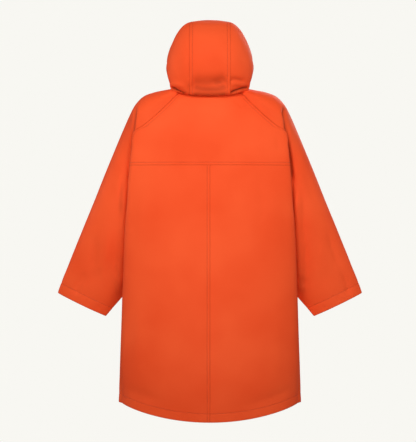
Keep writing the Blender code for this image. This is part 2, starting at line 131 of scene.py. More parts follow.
def unit(vectors: np.ndarray) -> np.ndarray:
    """Bring the vectors along the last axis to length 1."""
    length = np.linalg.norm(vectors, axis=-1, keepdims=True)
    return vectors / np.maximum(length, TINY)


def bell(distance: np.ndarray | float, reach: float) -> np.ndarray | float:
    """Fall from 1 at no distance to about 0.4 at the reach, and on to 0."""
    return np.exp(-((distance / reach) ** 2))


def through(rows: np.ndarray, place: float) -> np.ndarray:
    """Read a smooth curve through all the rows at a fractional row.

    Args:
        rows: Values, one row after another along the first axis.
        place: The fractional row.

    Returns:
        The values there.
    """
    index = min(max(int(math.floor(place)), 0), len(rows) - 2)
    share = place - index
    here, there = rows[index], rows[index + 1]
    before = rows[index - 1] if index > 0 else 2 * here - there
    after = rows[index + 2] if index + 2 < len(rows) else 2 * there - here
    leaving, arriving = (there - before) / 2, (after - here) / 2
    bend = 2 * here - 2 * there + leaving + arriving
    lean = 3 * there - 3 * here - 2 * leaving - arriving
    return ((bend * share + lean) * share + leaving) * share + here


def uneven(run: np.ndarray, pitch: float, seed: float) -> np.ndarray:
    """Make an irregular ripple, about -1 to 1, along a run.

    Args:
        run: Distances in mm.
        pitch: The usual distance between ripples.
        seed: Any number, which sets where the ripples fall.

    Returns:
        The ripple at each distance.
    """
    turn = 2 * math.pi * run / pitch
    wave = sum(height * np.sin(turn * rate + phase * seed) for height, rate, phase in RIPPLES)
    swell = SWELL_LEVEL + SWELL_DEPTH * np.sin(turn * SWELL_RATE + SWELL_PHASE * seed)
    return wave * swell / RIPPLE_HEIGHT


# ---------------------------------------------------------------- the cut of the coat


@dataclass(frozen=True)
class NeckOval:
    """The neck opening, where hood, yoke, sleeves and fronts meet: higher at the shoulders."""

    half_width: float = 88.0
    back_y: float = 62.0
    front_y: float = -78.0
    back_z: float = -5.0
    side_z: float = 24.0
    front_z: float = -70.0
    back_raglan: float = 54.0
    front_raglan: float = 125.0

    def points(self, degrees: np.ndarray) -> np.ndarray:
        """Find points on the oval.

        Args:
            degrees: Angles round it from the centre back.

        Returns:
            A point for each angle.
        """
        turn = np.radians(degrees)
        behind = np.asarray(degrees) < 90
        depth = np.where(behind, self.back_y, -self.front_y)
        low = np.where(behind, self.back_z, self.front_z)
        height = low + (self.side_z - low) * np.abs(np.sin(turn)) ** EDGE_RISE
        return np.stack([self.half_width * np.sin(turn), depth * np.cos(turn), height], axis=-1)

    def top_row(self, degrees: float, centre_y: float, centre_z: float) -> tuple[float, ...]:
        """Give the top row of a front or back panel, which follows the oval to the raglan seam.

        Args:
            degrees: Where the raglan seam meets the oval.
            centre_y: The oval's depth at the panel's centre line.
            centre_z: The oval's height there.

        Returns:
            The row's nine values.
        """
        x, y, z = self.points(np.array(degrees))
        turn = degrees if degrees < 90 else 180 - degrees
        return (centre_z, z, centre_y, x, y, turn, 0.0, x, y)


@dataclass(frozen=True)
class BodyCut:
    """Level sections of the front and back panels, from the neck to the hem.

    A row of the tops is the centre's height, the edge's height, the centre's depth, the edge's
    x and y, how far an oval turns to the edge, how much of the run past it shows, and where that
    run goes. A row of the body is the heights of back, side and front, the depth of the back, the
    fold that hangs over the sleeve, where the front turns, and the depth of the front.
    """

    neck: NeckOval = NeckOval()
    back_top: tuple[tuple[float, ...], ...] = (
        (-12, -2, 77, 98, 60, 58, 0, 98, 60),
        (-36, -30, 88, 125, 75, 62, 0, 125, 75),
        (-64, -62, 95, 158, 83, 67, 0, 158, 83),
        (-92, -95, 99.5, 197, 85, 76, 0, 200, 30),
        (-118, -118, 103, 229.5, 78, 90, 0, 210, -20),
        (-165, -165, 109, 235.5, 80, 90, 0.15, 208, -35),
        (-217, -217, 113.5, 241, 82, 90, 0.25, 205, -42),
        (-276, -276, 117.5, 246, 80, 90, 0.36, 204, -50),
    )
    front_top: tuple[tuple[float, ...], ...] = (
        (-82, -15, -86, 86, -60, 57, 0, 86, -60),
        (-98, -38, -94, 104, -72, 60, 0, 104, -72),
        (-118, -65, -101, 124, -81, 64, 0, 124, -81),
        (-142, -96, -107, 145, -87, 69, 0, 145, -87),
        (-170, -132, -112, 165, -88, 75, 0, 200, 60),
        (-205, -175, -117, 183, -84, 82, 0, 235, 80),
        (-245, -226, -121, 196, -72, 90, 0, 242, 82),
        (-287, -276, -124, 204, -50, 90, 0.25, 246, 80),
    )
    body: tuple[tuple[float, ...], ...] = (
        (-330, -330, -330, 120.5, 249.5, 76, 205, -50, -127),
        (-400, -400, -400, 123, 256, 64, 203, -55, -129),
        (-480, -480, -480, 125, 260.6, 50, 206, -58, -131),
        (-545, -545, -545, 127, 263.6, 41, 213, -60, -133),
        (-600, -600, -600, 129, 266, 33, 226, -56, -135),
        (-675, -675, -675, 132, 269, 23, 250, -45, -138),
        (-800, -800, -800, 137, 273.5, 10, 268, -28, -142),
        (-982, -937, -957, 144, 278.5, 0, 277, -12, -147),
    )
    side_seam: float = 0.5  # half-way along the run between the fold and the front

    def back(self) -> np.ndarray:
        """Collect the rows of the back.

        Returns:
            A row for each section from the neck to the hem.
        """
        neck = self.neck
        rows = [neck.top_row(neck.back_raglan, neck.back_y, neck.back_z), *self.back_top]
        for back_z, side_z, _, back_y, lip_x, lip_y, side_x, side_y, _ in self.body:
            turn = (90, self.side_seam, side_x, side_y)
            rows.append((back_z, side_z, back_y, lip_x, lip_y, *turn))
        return np.array(rows, float)

    def front(self) -> np.ndarray:
        """Collect the rows of the fronts.

        Returns:
            A row for each section from the neck to the hem.
        """
        neck = self.neck
        rows = [neck.top_row(neck.front_raglan, neck.front_y, neck.front_z), *self.front_top]
        for _, side_z, front_z, _, lip_x, lip_y, side_x, side_y, front_y in self.body:
            turn = (90, self.side_seam, lip_x, lip_y)
            rows.append((front_z, side_z, front_y, side_x, side_y, *turn))
        return np.array(rows, float)


CUT = BodyCut()
NECK = CUT.neck
BACK = CUT.back()
FRONT = CUT.front()
HEM_ROW = len(BACK) - 1


def section(row: np.ndarray, reach: np.ndarray | float) -> np.ndarray:
    """Find points of a panel's level section.

    Args:
        row: The section's nine values.
        reach: 0 at the centre line, 1 at the edge, and beyond 1 on the run past it.

    Returns:
        A point for each reach.
    """
    centre_z, edge_z, centre_y, edge_x, edge_y, turn, _, over_x, over_y = row
    turn = math.radians(turn)
    angle = np.minimum(reach, 1.0) * turn
    across = np.sin(angle) / math.sin(turn)
    flat = (np.cos(angle) - math.cos(turn)) / (1 - math.cos(turn))
    over = np.maximum(np.asarray(reach) - 1, 0.0)
    x = edge_x * across + (over_x - edge_x) * smooth_step(over)
    y = edge_y + (centre_y - edge_y) * flat + (over_y - edge_y) * over
    z = centre_z + (edge_z - centre_z) * across**EDGE_RISE
    return np.stack([x, y, z], axis=-1)


def tuck_of(row: np.ndarray) -> float:
    """Tell how much of the run past its edge a section follows, never past the side seam."""
    return min(max(float(row[6]), 0.0), CUT.side_seam)


def reach_of_x(row: np.ndarray, x: float) -> float:
    """Find the reach at which a section passes x."""
    turn = math.radians(row[5])
    return math.asin(x / row[3] * math.sin(turn)) / turn


def seam_point(rows: np.ndarray, place: float) -> np.ndarray:
    """Find where a section meets the raglan seam or the side seam."""
    row = through(rows, place)
    return section(row, 1 + tuck_of(row))


def raglan_edge(rows: np.ndarray, place: float, outward: int) -> tuple[np.ndarray, np.ndarray]:
    """Find the directions at a raglan seam, both square to it.

    Args:
        rows: The rows of the back or the front.
        place: The fractional row.
        outward: 1 for the back and -1 for the front.

    Returns:
        The way on past the seam, and the way out of the cloth.
    """
    place = min(max(place, EDGE_STEP), UNDERARM_ROW - EDGE_STEP)
    row = through(rows, place)
    past = seam_point(rows, place) - section(row, 1 + tuck_of(row) - EDGE_STEP)
    along = unit(seam_point(rows, place + EDGE_STEP) - seam_point(rows, place - EDGE_STEP))
    past = unit(past - along * np.dot(past, along))
    return past, np.cross(past, along) * outward


def front_inward(place: float) -> np.ndarray:
    """Find the way into the body, square to the centre front.

    Args:
        place: The fractional row.

    Returns:
        The direction.
    """
    above = section(through(FRONT, max(place - EDGE_STEP, 0)), 0.0)
    below = section(through(FRONT, place + EDGE_STEP), 0.0)
    down = unit(below - above)
    return np.array([0.0, -down[2], down[1]])


# ---------------------------------------------------------------- panels as grids of points


class Edge(Enum):
    """The four edges of a panel's grid."""

    TOP = "first row"
    BOTTOM = "last row"
    START = "first column"
    END = "last column"


class EdgeKind(Enum):
    """How an edge is made up."""

    SEAM = "turned under and sewn to the next panel"
    STITCHED = "a seam with its allowance stitched down under this panel"
    TURNED = "a free edge, turned in and stitched down"


@dataclass(frozen=True)
class SewnForm:
    """How sewing shapes the cloth beside it and darkens it with painted shade, alike along every edge."""

    roll: float = 0.5  # how far a seam's edge rolls under
    roll_reach: float = 1.8
    ripple: float = 0.1  # how high the ripples along a seam stand
    ripple_pitch: float = 13.0
    ripple_reach: float = 6.0
    ripple_seed: float = 5.0  # added to the seed of the puckers
    padding: float = 0.25  # how far the allowance below lifts the cloth
    padding_slope: float = 3.0
    padding_end: float = 1.5  # how far short of the stitches it starts to end
    bite: float = 0.4  # how far the thread pulls the cloth in
    bite_reach: float = 1.0
    pucker_pitch: float = 11.0
    pucker_reach: float = 6.5
    lean_reach: float = 11.0
    swell: float = 0.5  # the swell beyond the stitches, as a share of the lean
    swell_off: float = 30.0
    swell_reach: float = 16.0
    fading: float = 0.15  # the table rows over which topstitching dies out
    # painted shade along a seam line and a stitch line: how dark at most, and how far it reaches
    seam_painted_shade: float = 0.25
    seam_painted_shade_reach: float = 1.3
    stitch_painted_shade: float = 0.3
    stitch_painted_shade_reach: float = 1.2


SEWN = SewnForm()


@dataclass(frozen=True)
class EdgeWork:
    """The sewing along one edge of a panel.

    Attributes:
        kind: How the edge is made up.
        held_back: The distance from the seam line to the panel's edge.
        stitch: The distance from the edge to the line of topstitching.
        until: The table row at which that line ends.
        lean: How far the cloth sinks at the stitch line and swells beyond it.
        seed: Where the puckers fall.
        pucker: How high the puckers stand.
    """

    kind: EdgeKind = EdgeKind.SEAM
    held_back: float = 0.0
    stitch: float = 8.0
    until: float = 99.0
    lean: float = 0.0
    seed: float = 1.0
    pucker: float = 0.25

    def marks(self) -> np.ndarray:
        """Give the distances from the seam line at which the grid has a line.

        Returns:
            The distances, from the edge inwards.
        """
        close = list(SEAM_MARKS)
        if self.kind is EdgeKind.TURNED:
            close = list(FREE_MARKS)
            close += list(np.arange(close[-1] + FREE_STEP, self.stitch - FREE_GAP, FREE_STEP))
        if self.kind is EdgeKind.SEAM:
            return np.array([*close, *PLAIN_MARKS]) + self.held_back
        return np.array([*close, *(self.stitch + off for off in STITCH_MARKS)]) + self.held_back

    def sewn(self, place: np.ndarray) -> np.ndarray:
        """Tell where the topstitching runs: 1 along it, and 0 past the row at which it ends."""
        return 1 - smooth_step((place - self.until) / SEWN.fading)

    def height(self, distance: np.ndarray, run: np.ndarray, place: np.ndarray) -> np.ndarray:
        """Tell how high the cloth stands near the edge.

        Args:
            distance: Distances from the seam line.
            run: Distances along it.
            place: Table rows, which tell where the topstitching has ended.

        Returns:
            The height at each point.
        """
        distance = distance - self.held_back
        lift = np.zeros_like(distance)
        if self.kind is not EdgeKind.TURNED:
            lift -= SEWN.roll * np.clip(1 - distance / SEWN.roll_reach, 0, 1) ** 2
            ripple = uneven(run, SEWN.ripple_pitch, self.seed + SEWN.ripple_seed)
            lift += SEWN.ripple * ripple * bell(distance, SEWN.ripple_reach)
        if self.kind is EdgeKind.SEAM:
            return lift
        off = distance - self.stitch
        padded = SEWN.padding * smooth_step(distance / SEWN.padding_slope)
        padded *= 1 - smooth_step((off + SEWN.padding_end) / SEWN.padding_slope)
        drawn = uneven(run, SEWN.pucker_pitch, self.seed) * bell(off, SEWN.pucker_reach)
        drawn = padded - SEWN.bite * bell(off, SEWN.bite_reach) + self.pucker * drawn
        lift += self.sewn(place) * drawn
        lift -= self.lean * bell(off, SEWN.lean_reach)
        lift += SEWN.swell * self.lean * bell(off - SEWN.swell_off, SEWN.swell_reach)
        return lift

    def painted_shade(self, distance: np.ndarray, place: np.ndarray) -> np.ndarray:
        """Tell how much painted shade each point gets from a seam or a stitch line, 0 to 1.

        Args:
            distance: Distances from the seam line.
            place: Table rows.

        Returns:
            The painted shade at each point.
        """
        distance = distance - self.held_back
        deep = np.zeros_like(distance)
        if self.kind is not EdgeKind.TURNED:
            deep = SEWN.seam_painted_shade * bell(distance, SEWN.seam_painted_shade_reach)
        if self.kind is not EdgeKind.SEAM:
            stitched = bell(distance - self.stitch, SEWN.stitch_painted_shade_reach)
            deep = np.maximum(deep, SEWN.stitch_painted_shade * self.sewn(place) * stitched)
        return deep


def towards(values: np.ndarray, edge: Edge) -> np.ndarray:
    """Turn a grid so that the edge is its last row.

    Args:
        values: A grid, rows first and columns second.
        edge: The edge that is wanted last.

    Returns:
        A view of the same values.
    """
    if edge in (Edge.START, Edge.END):
        values = np.swapaxes(values, 0, 1)
    return values[::-1] if edge in (Edge.START, Edge.TOP) else values


def back_from(values: np.ndarray, edge: Edge) -> np.ndarray:
    """Undo `towards`, so that the rows come first and the columns second again."""
    values = values[::-1] if edge in (Edge.START, Edge.TOP) else values
    return np.swapaxes(values, 0, 1) if edge in (Edge.START, Edge.END) else values


def squareness(points: np.ndarray, edge: Edge) -> np.ndarray:
    """Tell how squarely the lines of a grid meet an edge.

    Args:
        points: The grid's points.
        edge: The edge.

    Returns:
        The sine of the angle for each line.
    """
    lines = towards(points, edge)
    onward = unit(lines[-1] - lines[-2])
    along = unit(np.gradient(lines[-1], axis=0))
    square = onward - along * np.sum(onward * along, axis=-1, keepdims=True)
    return np.clip(np.linalg.norm(square, axis=-1), LEAST_SQUARE, 1.0)


def respaced(
    lines: np.ndarray,
    first: tuple[np.ndarray, np.ndarray],
    last: tuple[np.ndarray, np.ndarray],
    pitch: float,
) -> np.ndarray:
    """Space the points of each line by their real distances from its two ends.

    Args:
        lines: Lines of points with their other values, the place in the first three.
        first: The marks of the first edge, and how squarely each line meets it.
        last: The same for the last edge.
        pitch: The distance between points away from the edges.

    Returns:
        The lines with new points, and three more values: distance from the first edge, from the
        last edge, and along the line.
    """
    steps = np.linalg.norm(np.diff(lines[..., :3], axis=1), axis=2)
    run = np.concatenate([np.zeros((len(lines), 1)), np.cumsum(steps, axis=1)], axis=1)
    total = run[:, -1:]
    near = first[0][None, :] / first[1][:, None]
    far = last[0][None, :] / last[1][:, None]
    near *= np.minimum(1, EDGE_SHARE * total / np.maximum(near[:, -1:], TINY))
    far *= np.minimum(1, EDGE_SHARE * total / np.maximum(far[:, -1:], TINY))
    open_run = total - near[:, -1:] - far[:, -1:]
    count = max(3, round(float(np.max(open_run)) / pitch))
    middle = near[:, -1:] + open_run * np.linspace(0, 1, count + 1)[1:-1]
    wanted = np.concatenate([near, middle, total - far[:, ::-1]], axis=1)
    channels = lines.shape[2]
    spaced = np.empty((len(lines), wanted.shape[1], channels + 3))
    for index, line in enumerate(lines):
        for channel in range(channels):
            spaced[index, :, channel] = np.interp(wanted[index], run[index], line[:, channel])
    spaced[..., channels] = wanted * first[1][:, None]
    spaced[..., channels + 1] = (total - wanted) * last[1][:, None]
    spaced[..., channels + 2] = wanted
    return spaced


class Facing(Enum):
    """The side that a crease is drawn on, as that side's outward direction."""

    BACK = (0.0, 1.0, 0.0)
    FRONT = (0.0, -1.0, 0.0)
    LEFT = (1.0, 0.0, 0.0)
    RIGHT = (-1.0, 0.0, 0.0)
    TOP = (0.0, 0.0, 1.0)


@dataclass(frozen=True)
class Crease:
    """One soft trough or ridge in the cloth.

    Attributes:
        facing: The side that it is drawn on.
        path: Its line on that side, as x and z (y and z on the left and right, x and y on top).
        depth: How far it sinks in; a ridge has a depth below 0.
        width: How far from its line it has all but died out.
        taper: The share of its length over which each end dies out.
        tone: How far painted shade darkens the cloth along it.
    """

    facing: Facing
    path: tuple[tuple[float, float], ...]
    depth: float
    width: float
    taper: float = 0.4
    tone: float = 0.0

    @classmethod
    def on(cls, facing: Facing, *rows: tuple[object, ...]) -> tuple["Crease", ...]:
        """Collect the creases of one side.

        Args:
            facing: The side.
            *rows: The path, depth and width of each, then its taper and its painted shade where they
                   differ.

        Returns:
            The creases.
        """
        return tuple(cls(facing, *row) for row in rows)

    def strength(self, points: np.ndarray, outward: np.ndarray) -> np.ndarray:
        """Tell how strongly the crease takes each point of a panel.

        Args:
            points: The panel's points.
            outward: The way out of the cloth at each.

        Returns:
            1 along its line, falling to 0 beside it and at its ends.
        """
        axes = {Facing.LEFT: [1, 2], Facing.RIGHT: [1, 2], Facing.TOP: [0, 1]}
        flat = points[..., axes.get(self.facing, [0, 2])]
        rows = np.array(self.path, float)
        places = np.linspace(0, len(rows) - 1, CREASE_POINTS * (len(rows) - 1) + 1)
        line = np.array([through(rows, place) for place in places])
        nearest = np.full(flat.shape[:-1], np.inf)
        share = np.zeros(flat.shape[:-1])
        for index, (start, end) in enumerate(zip(line[:-1], line[1:])):
            leg = end - start
            along = np.clip(((flat - start) @ leg) / (leg @ leg), 0, 1)
            gap = np.linalg.norm(flat - start - along[..., None] * leg, axis=-1)
            closer = gap < nearest
            nearest = np.where(closer, gap, nearest)
            share = np.where(closer, (index + along) / (len(line) - 1), share)
        ends = smooth_step(share / self.taper) * smooth_step((1 - share) / self.taper)
        seen = smooth_step((outward @ np.array(self.facing.value) - SEEN_FROM) / SEEN_OVER)
        return bell(CREASE_FALL * nearest, self.width) * ends * seen


@dataclass
class ClothGrid:
    """A panel laid out as rows and columns of points.

    Attributes:
        name: The piece's name.
        points: The points, in mm.
        place: The table row of each point.
        across: The distance of each point along its row.
        along: The distance of each point down its column.
        far: The distance of each point from each edge.
        work: The sewing of each edge.
        handed: 1 where rows then columns turn outwards, and -1 where they turn inwards.
    """

    name: str
    points: np.ndarray
    place: np.ndarray
    across: np.ndarray
    along: np.ndarray
    far: dict[Edge, np.ndarray]
    work: dict[Edge, EdgeWork]
    handed: int
    outward: np.ndarray = field(init=False)
    # how far painted shade darkens each point, 0 to 1
    painted_shade: np.ndarray = field(init=False)

    def __post_init__(self) -> None:
        """Start with the plain surface's own directions and no painted shade."""
        self.painted_shade = np.zeros(self.points.shape[:2])
        self.find_outward()

    @classmethod
    def laid_out(
        cls,
        name: str,
        dense: np.ndarray,
        work: dict[Edge, EdgeWork],
        handed: int,
        pitch: float,
    ) -> "ClothGrid":
        """Lay a panel out with its grid lines at the distances that its sewing asks for.

        Args:
            name: The piece's name.
            dense: Close rows of points, each with its table row.
            work: The sewing of each edge.
            handed: 1 where rows then columns turn outwards, and -1 where they turn inwards.
            pitch: The distance between grid lines away from the edges.

        Returns:
            The grid.
        """
        work = {edge: work.get(edge, EdgeWork()) for edge in Edge}
        marks = {edge: edge_work.marks() for edge, edge_work in work.items()}
        start = (marks[Edge.START], squareness(dense[..., :3], Edge.START))
        end = (marks[Edge.END], squareness(dense[..., :3], Edge.END))
        crossed = respaced(dense, start, end, pitch)
        upright = np.swapaxes(crossed, 0, 1)
        top = (marks[Edge.TOP], squareness(crossed[..., :3], Edge.TOP))
        bottom = (marks[Edge.BOTTOM], squareness(crossed[..., :3], Edge.BOTTOM))
        final = np.swapaxes(respaced(upright, top, bottom, pitch), 0, 1)
        far = {Edge.START: final[..., 4], Edge.END: final[..., 5]}
        far |= {Edge.TOP: final[..., 7], Edge.BOTTOM: final[..., 8]}
        points, place = final[..., :3].copy(), final[..., 3]
        return cls(name, points, place, final[..., 6], final[..., 9], far, work, handed)

    def find_outward(self) -> None:
        """Find the way out of the cloth at each point."""
        down = np.gradient(self.points, axis=0)
        over = np.gradient(self.points, axis=1)
        self.outward = unit(np.cross(down, over)) * self.handed

    def sew(self) -> None:
        """Raise the cloth as the sewing along its edges draws it, and note the painted shade along its
        seams and stitch lines.
        """
        lift = np.zeros(self.points.shape[:2])
        for edge, edge_work in self.work.items():
            run = self.along if edge in (Edge.START, Edge.END) else self.across
            lift += edge_work.height(self.far[edge], run, self.place)
            painted_shade = edge_work.painted_shade(self.far[edge], self.place)
            self.painted_shade = np.maximum(self.painted_shade, painted_shade)
        self.points += self.outward * lift[..., None]
        self.find_outward()

    def crease(self, creases: Sequence[Crease]) -> None:
        """Put the main creases in, with the painted shade that some of them carry.

        Args:
            creases: The creases of this panel.
        """
        lift = np.zeros(self.points.shape[:2])
        for crease in creases:
            strength = crease.strength(self.points, self.outward)
            lift -= crease.depth * strength
            # painted shade along the crease, strongest on its line
            self.painted_shade = np.maximum(self.painted_shade, crease.tone * strength**2)
        self.points += self.outward * lift[..., None]
        self.find_outward()

    def slacken(self, size: float, pitch: float, seed: float) -> None:
        """Give the cloth slight, mostly upright drags, as hanging cloth has.

        Args:
            size: About how high it is.
            pitch: About how far apart its swells are.
            seed: Where they fall.
        """
        drags = uneven(self.points @ np.array(DRAG_WAY), pitch, seed)
        fades = uneven(self.points @ np.array(FADE_WAY), pitch * FADE_PITCH, seed + FADE_SEED)
        fading = FADE_LEVEL + FADE_DEPTH * fades
        self.points += self.outward * (size * drags * fading)[..., None]
        self.find_outward()

    def line(self, edge: Edge) -> tuple[np.ndarray, np.ndarray, np.ndarray]:
        """Find the grid line under an edge's topstitching.

        Args:
            edge: The edge.

        Returns:
            Its points, the way out at each, and the table row of each.
        """
        marks = self.work[edge].marks()
        wanted = self.work[edge].stitch + self.work[edge].held_back
        index = -1 - int(np.argmin(np.abs(marks - wanted)))
        grids = (self.points, self.outward, self.place)
        points, outward, place = (towards(values, edge)[index] for values in grids)
        return points, outward, place

    def turn_in(self, edge: Edge) -> None:
        """Turn a free edge in, and carry the cloth back to the stitch line behind itself.

        Args:
            edge: The edge.
        """
        marks = self.work[edge].marks()
        stitch = self.work[edge].stitch
        count = int(np.sum(marks <= stitch + TURN_PAST))
        points, outward = towards(self.points, edge), towards(self.outward, edge)
        onward = unit(points[-1] - points[-3])
        radius = TURN_GAP / 2
        fold, fold_out = [], []
        for degrees in TURN_DEGREES:
            angle = math.radians(degrees)
            over = onward * (radius * math.sin(angle))
            fold.append(points[-1] + over - outward[-1] * (radius * (1 - math.cos(angle))))
            fold_out.append(outward[-1])
        for index in range(1, count):
            pinch = PINCH * bell(marks[index] - stitch, PINCH_REACH)
            fold.append(points[-1 - index] - outward[-1 - index] * (TURN_GAP - pinch))
            fold_out.append(outward[-1 - index])
        round_fold = np.linspace(0, math.pi * radius, len(TURN_DEGREES) + 1)[1:]
        fold_run = np.concatenate([round_fold, marks[1:count] + TURN_RUN])
        self._extend(edge, np.array(fold), np.array(fold_out), fold_run, count)

    def add_allowance(self, edge: Edge, reach: np.ndarray | float = ALLOWANCE) -> None:
        """Carry the cloth on past a seam line, close under the next panel.

        Args:
            edge: The edge.
            reach: How far it goes on, for the whole edge or for each line that meets it.
        """
        points, outward = towards(self.points, edge), towards(self.outward, edge)
        along = unit(np.gradient(points[-1], axis=0))
        onward = points[-1] - points[-3]
        onward = unit(onward - along * np.sum(onward * along, axis=-1, keepdims=True))
        reach = np.broadcast_to(reach, len(points[-1]))[:, None]
        shallow = np.minimum(reach / SHALLOW_UNDER, 1)
        fold = []
        for share, drop, _ in ALLOWANCE_ROWS:
            fold.append(points[-1] + onward * share * reach - outward[-1] * drop * shallow)
        fold_out = np.repeat(outward[-1:], len(fold), axis=0)
        self._extend(edge, np.array(fold), fold_out, np.array(ALLOWANCE_ROWS)[:, 2], 1)

    def turn_down(self, edge: Edge) -> None:
        """Carry the hood's lower edge on as an allowance that hangs inside the neck opening.

        Args:
            edge: The edge.
        """
        last = towards(self.points, edge)[-1]
        inward = -unit(last * (1, 1, 0))
        fold = []
        for over, down, _ in NECK_ROWS:
            fold.append(last + inward * over - np.array([0.0, 0.0, down]))
        fold_out = np.repeat(-inward[None], len(fold), axis=0)
        self._extend(edge, np.array(fold), fold_out, np.array(NECK_ROWS)[:, 2], 1)

    def _extend(
        self,
        edge: Edge,
        fold: np.ndarray,
        fold_out: np.ndarray,
        fold_run: np.ndarray,
        count: int,
    ) -> None:
        """Add the rows of a turned edge to every value of the grid.

        Args:
            edge: The edge.
            fold: The new points, row by row.
            fold_out: The way out of the panel at each.
            fold_run: How far along the cloth each new row lies from the edge.
            count: How many of the panel's own rows the turned cloth lies behind.
        """
        own = -1 - np.arange(1, count)
        source = np.concatenate([np.full(len(fold) - len(own), -1), own])

        def grown(values: np.ndarray, extra: np.ndarray) -> np.ndarray:
            """Add rows past the edge to a grid."""
            whole = np.concatenate([towards(values, edge), extra], axis=0)
            return back_from(whole, edge)

        down_run = edge in (Edge.TOP, Edge.BOTTOM)
        sign = 1 if edge in (Edge.BOTTOM, Edge.END) else -1
        steps = (fold_run * sign)[:, None]
        across, along = towards(self.across, edge), towards(self.along, edge)
        if down_run:
            across, along = across[source], along[-1] + steps
        else:
            across, along = across[-1] + steps, along[source]
        self.points = grown(self.points, fold)
        self.outward = grown(self.outward, fold_out)
        self.across, self.along = grown(self.across, across), grown(self.along, along)
        self.painted_shade = grown(self.painted_shade, np.zeros(fold.shape[:2]))
        self.place = grown(self.place, towards(self.place, edge)[source])
        for other, values in self.far.items():
            self.far[other] = grown(values, towards(values, edge)[source])

    def area(self) -> float:
        """Measure the cloth.

        Returns:
            Its area in square metres.
        """
        grid = self.points * MM
        first = np.cross(grid[1:, 1:] - grid[:-1, :-1], grid[1:, :-1] - grid[:-1, 1:])
        return float(np.linalg.norm(first, axis=-1).sum() / 2)


# ---------------------------------------------------------------- finishes


def linear(hex_colour: str) -> tuple[float, float, float, float]:
    """Turn an sRGB hex colour into linear values.

    Args:
        hex_colour: Such as "#F0562E".

    Returns:
        Red, green, blue and 1.
    """
    values = [int(hex_colour[index : index + 2], 16) / 255 for index in (1, 3, 5)]
    red, green, blue = (
        value / 12.92 if value <= 0.04045 else ((value + 0.055) / 1.055) ** 2.4
        for value in values
    )
    return red, green, blue, 1.0


def add_node(
    tree: bpy.types.NodeTree,
    kind: str,
    inputs: dict[str | int, object] | None = None,
    **settings: object,
) -> bpy.types.Node:
    """Add a node with its settings and links.

    Args:
        tree: The node tree.
        kind: The node's type name.
        inputs: What goes into each socket: a value, or another node's output.
        **settings: The node's own properties.

    Returns:
        The node.
    """
    node = tree.nodes.new(kind)
    for name, value in settings.items():
        setattr(node, name, value)
    for socket, value in (inputs or {}).items():
        if isinstance(value, bpy.types.NodeSocket):
            tree.links.new(value, node.inputs[socket])
        else:
            node.inputs[socket].default_value = value
    return node


def new_material(name: str) -> tuple[bpy.types.Material, bpy.types.NodeTree, bpy.types.Node]:
    """Make a material with a node tree.

    Args:
        name: The real material's name.

    Returns:
        The material, its tree, and its shader.
    """
    material = bpy.data.materials.new(name)
    material.use_nodes = True
    tree = material.node_tree
    return material, tree, tree.nodes["Principled BSDF"]


@dataclass(frozen=True)
class RubberisedCotton:
    """Cotton with a thin matt rubber coating: smooth, close, softly lit, with no visible weave."""

    colour: str = "#F05527"
    deep: str = "#EA4D21"
    # the colour that painted shade in seams, stitch lines and creases darkens the cloth towards
    painted_shade: str = "#78220A"
    roughness: float = 0.74
    roughness_range: float = 0.04
    grain_mm: float = 1.6  # the real grain is about 0.4 mm; it is drawn coarser, so that it shows
    grain_height_mm: float = 0.3
    grain_strength: float = 0.12
    cloud_mm: float = 140.0

    def material(self) -> bpy.types.Material:
        """Make the material.

        Returns:
            The material.
        """
        material, tree, shader = new_material("rubberised_cotton")
        place = add_node(tree, "ShaderNodeTexCoord").outputs["Object"]
        cloth_uv = add_node(tree, "ShaderNodeUVMap", uv_map="cloth").outputs["UV"]
        noise = {"Vector": place, "Scale": 1 / (self.cloud_mm * MM)}
        noise |= {"Detail": 2.0, "Roughness": 0.4}
        cloud = add_node(tree, "ShaderNodeTexNoise", noise).outputs["Fac"]
        spread = {"Value": cloud, "From Min": 0.35, "From Max": 0.65}
        share = add_node(tree, "ShaderNodeMapRange", spread).outputs["Result"]
        ends = {MIX_SHARE: share, MIX_FIRST: linear(self.colour), MIX_SECOND: linear(self.deep)}
        cloudy = add_node(tree, "ShaderNodeMix", ends, data_type="RGBA").outputs[MIX_RESULT]
        # painted shade from the piece's own attribute darkens the colour
        depth = add_node(tree, "ShaderNodeAttribute", attribute_name="painted_shade").outputs["Fac"]
        ends = {MIX_SHARE: depth, MIX_FIRST: cloudy, MIX_SECOND: linear(self.painted_shade)}
        shaded = add_node(tree, "ShaderNodeMix", ends, data_type="RGBA").outputs[MIX_RESULT]
        tree.links.new(shaded, shader.inputs["Base Color"])
        spread = {"Value": cloud, "From Min": 0.3, "From Max": 0.7}
        spread["To Min"] = self.roughness - self.roughness_range
        spread["To Max"] = self.roughness + self.roughness_range
        rough = add_node(tree, "ShaderNodeMapRange", spread).outputs["Result"]
        tree.links.new(rough, shader.inputs["Roughness"])
        noise = {"Vector": cloth_uv, "Scale": 1 / (self.grain_mm * MM), "Detail": 3.0}
        grain = add_node(tree, "ShaderNodeTexNoise", noise).outputs["Fac"]
        raised = {"Height": grain, "Strength": self.grain_strength}
        raised["Distance"] = self.grain_height_mm * MM
        bump = add_node(tree, "ShaderNodeBump", raised).outputs["Normal"]
        tree.links.new(bump, shader.inputs["Normal"])
        shader.inputs["IOR"].default_value = 1.5
        shader.inputs["Specular IOR Level"].default_value = 0.12
        return material


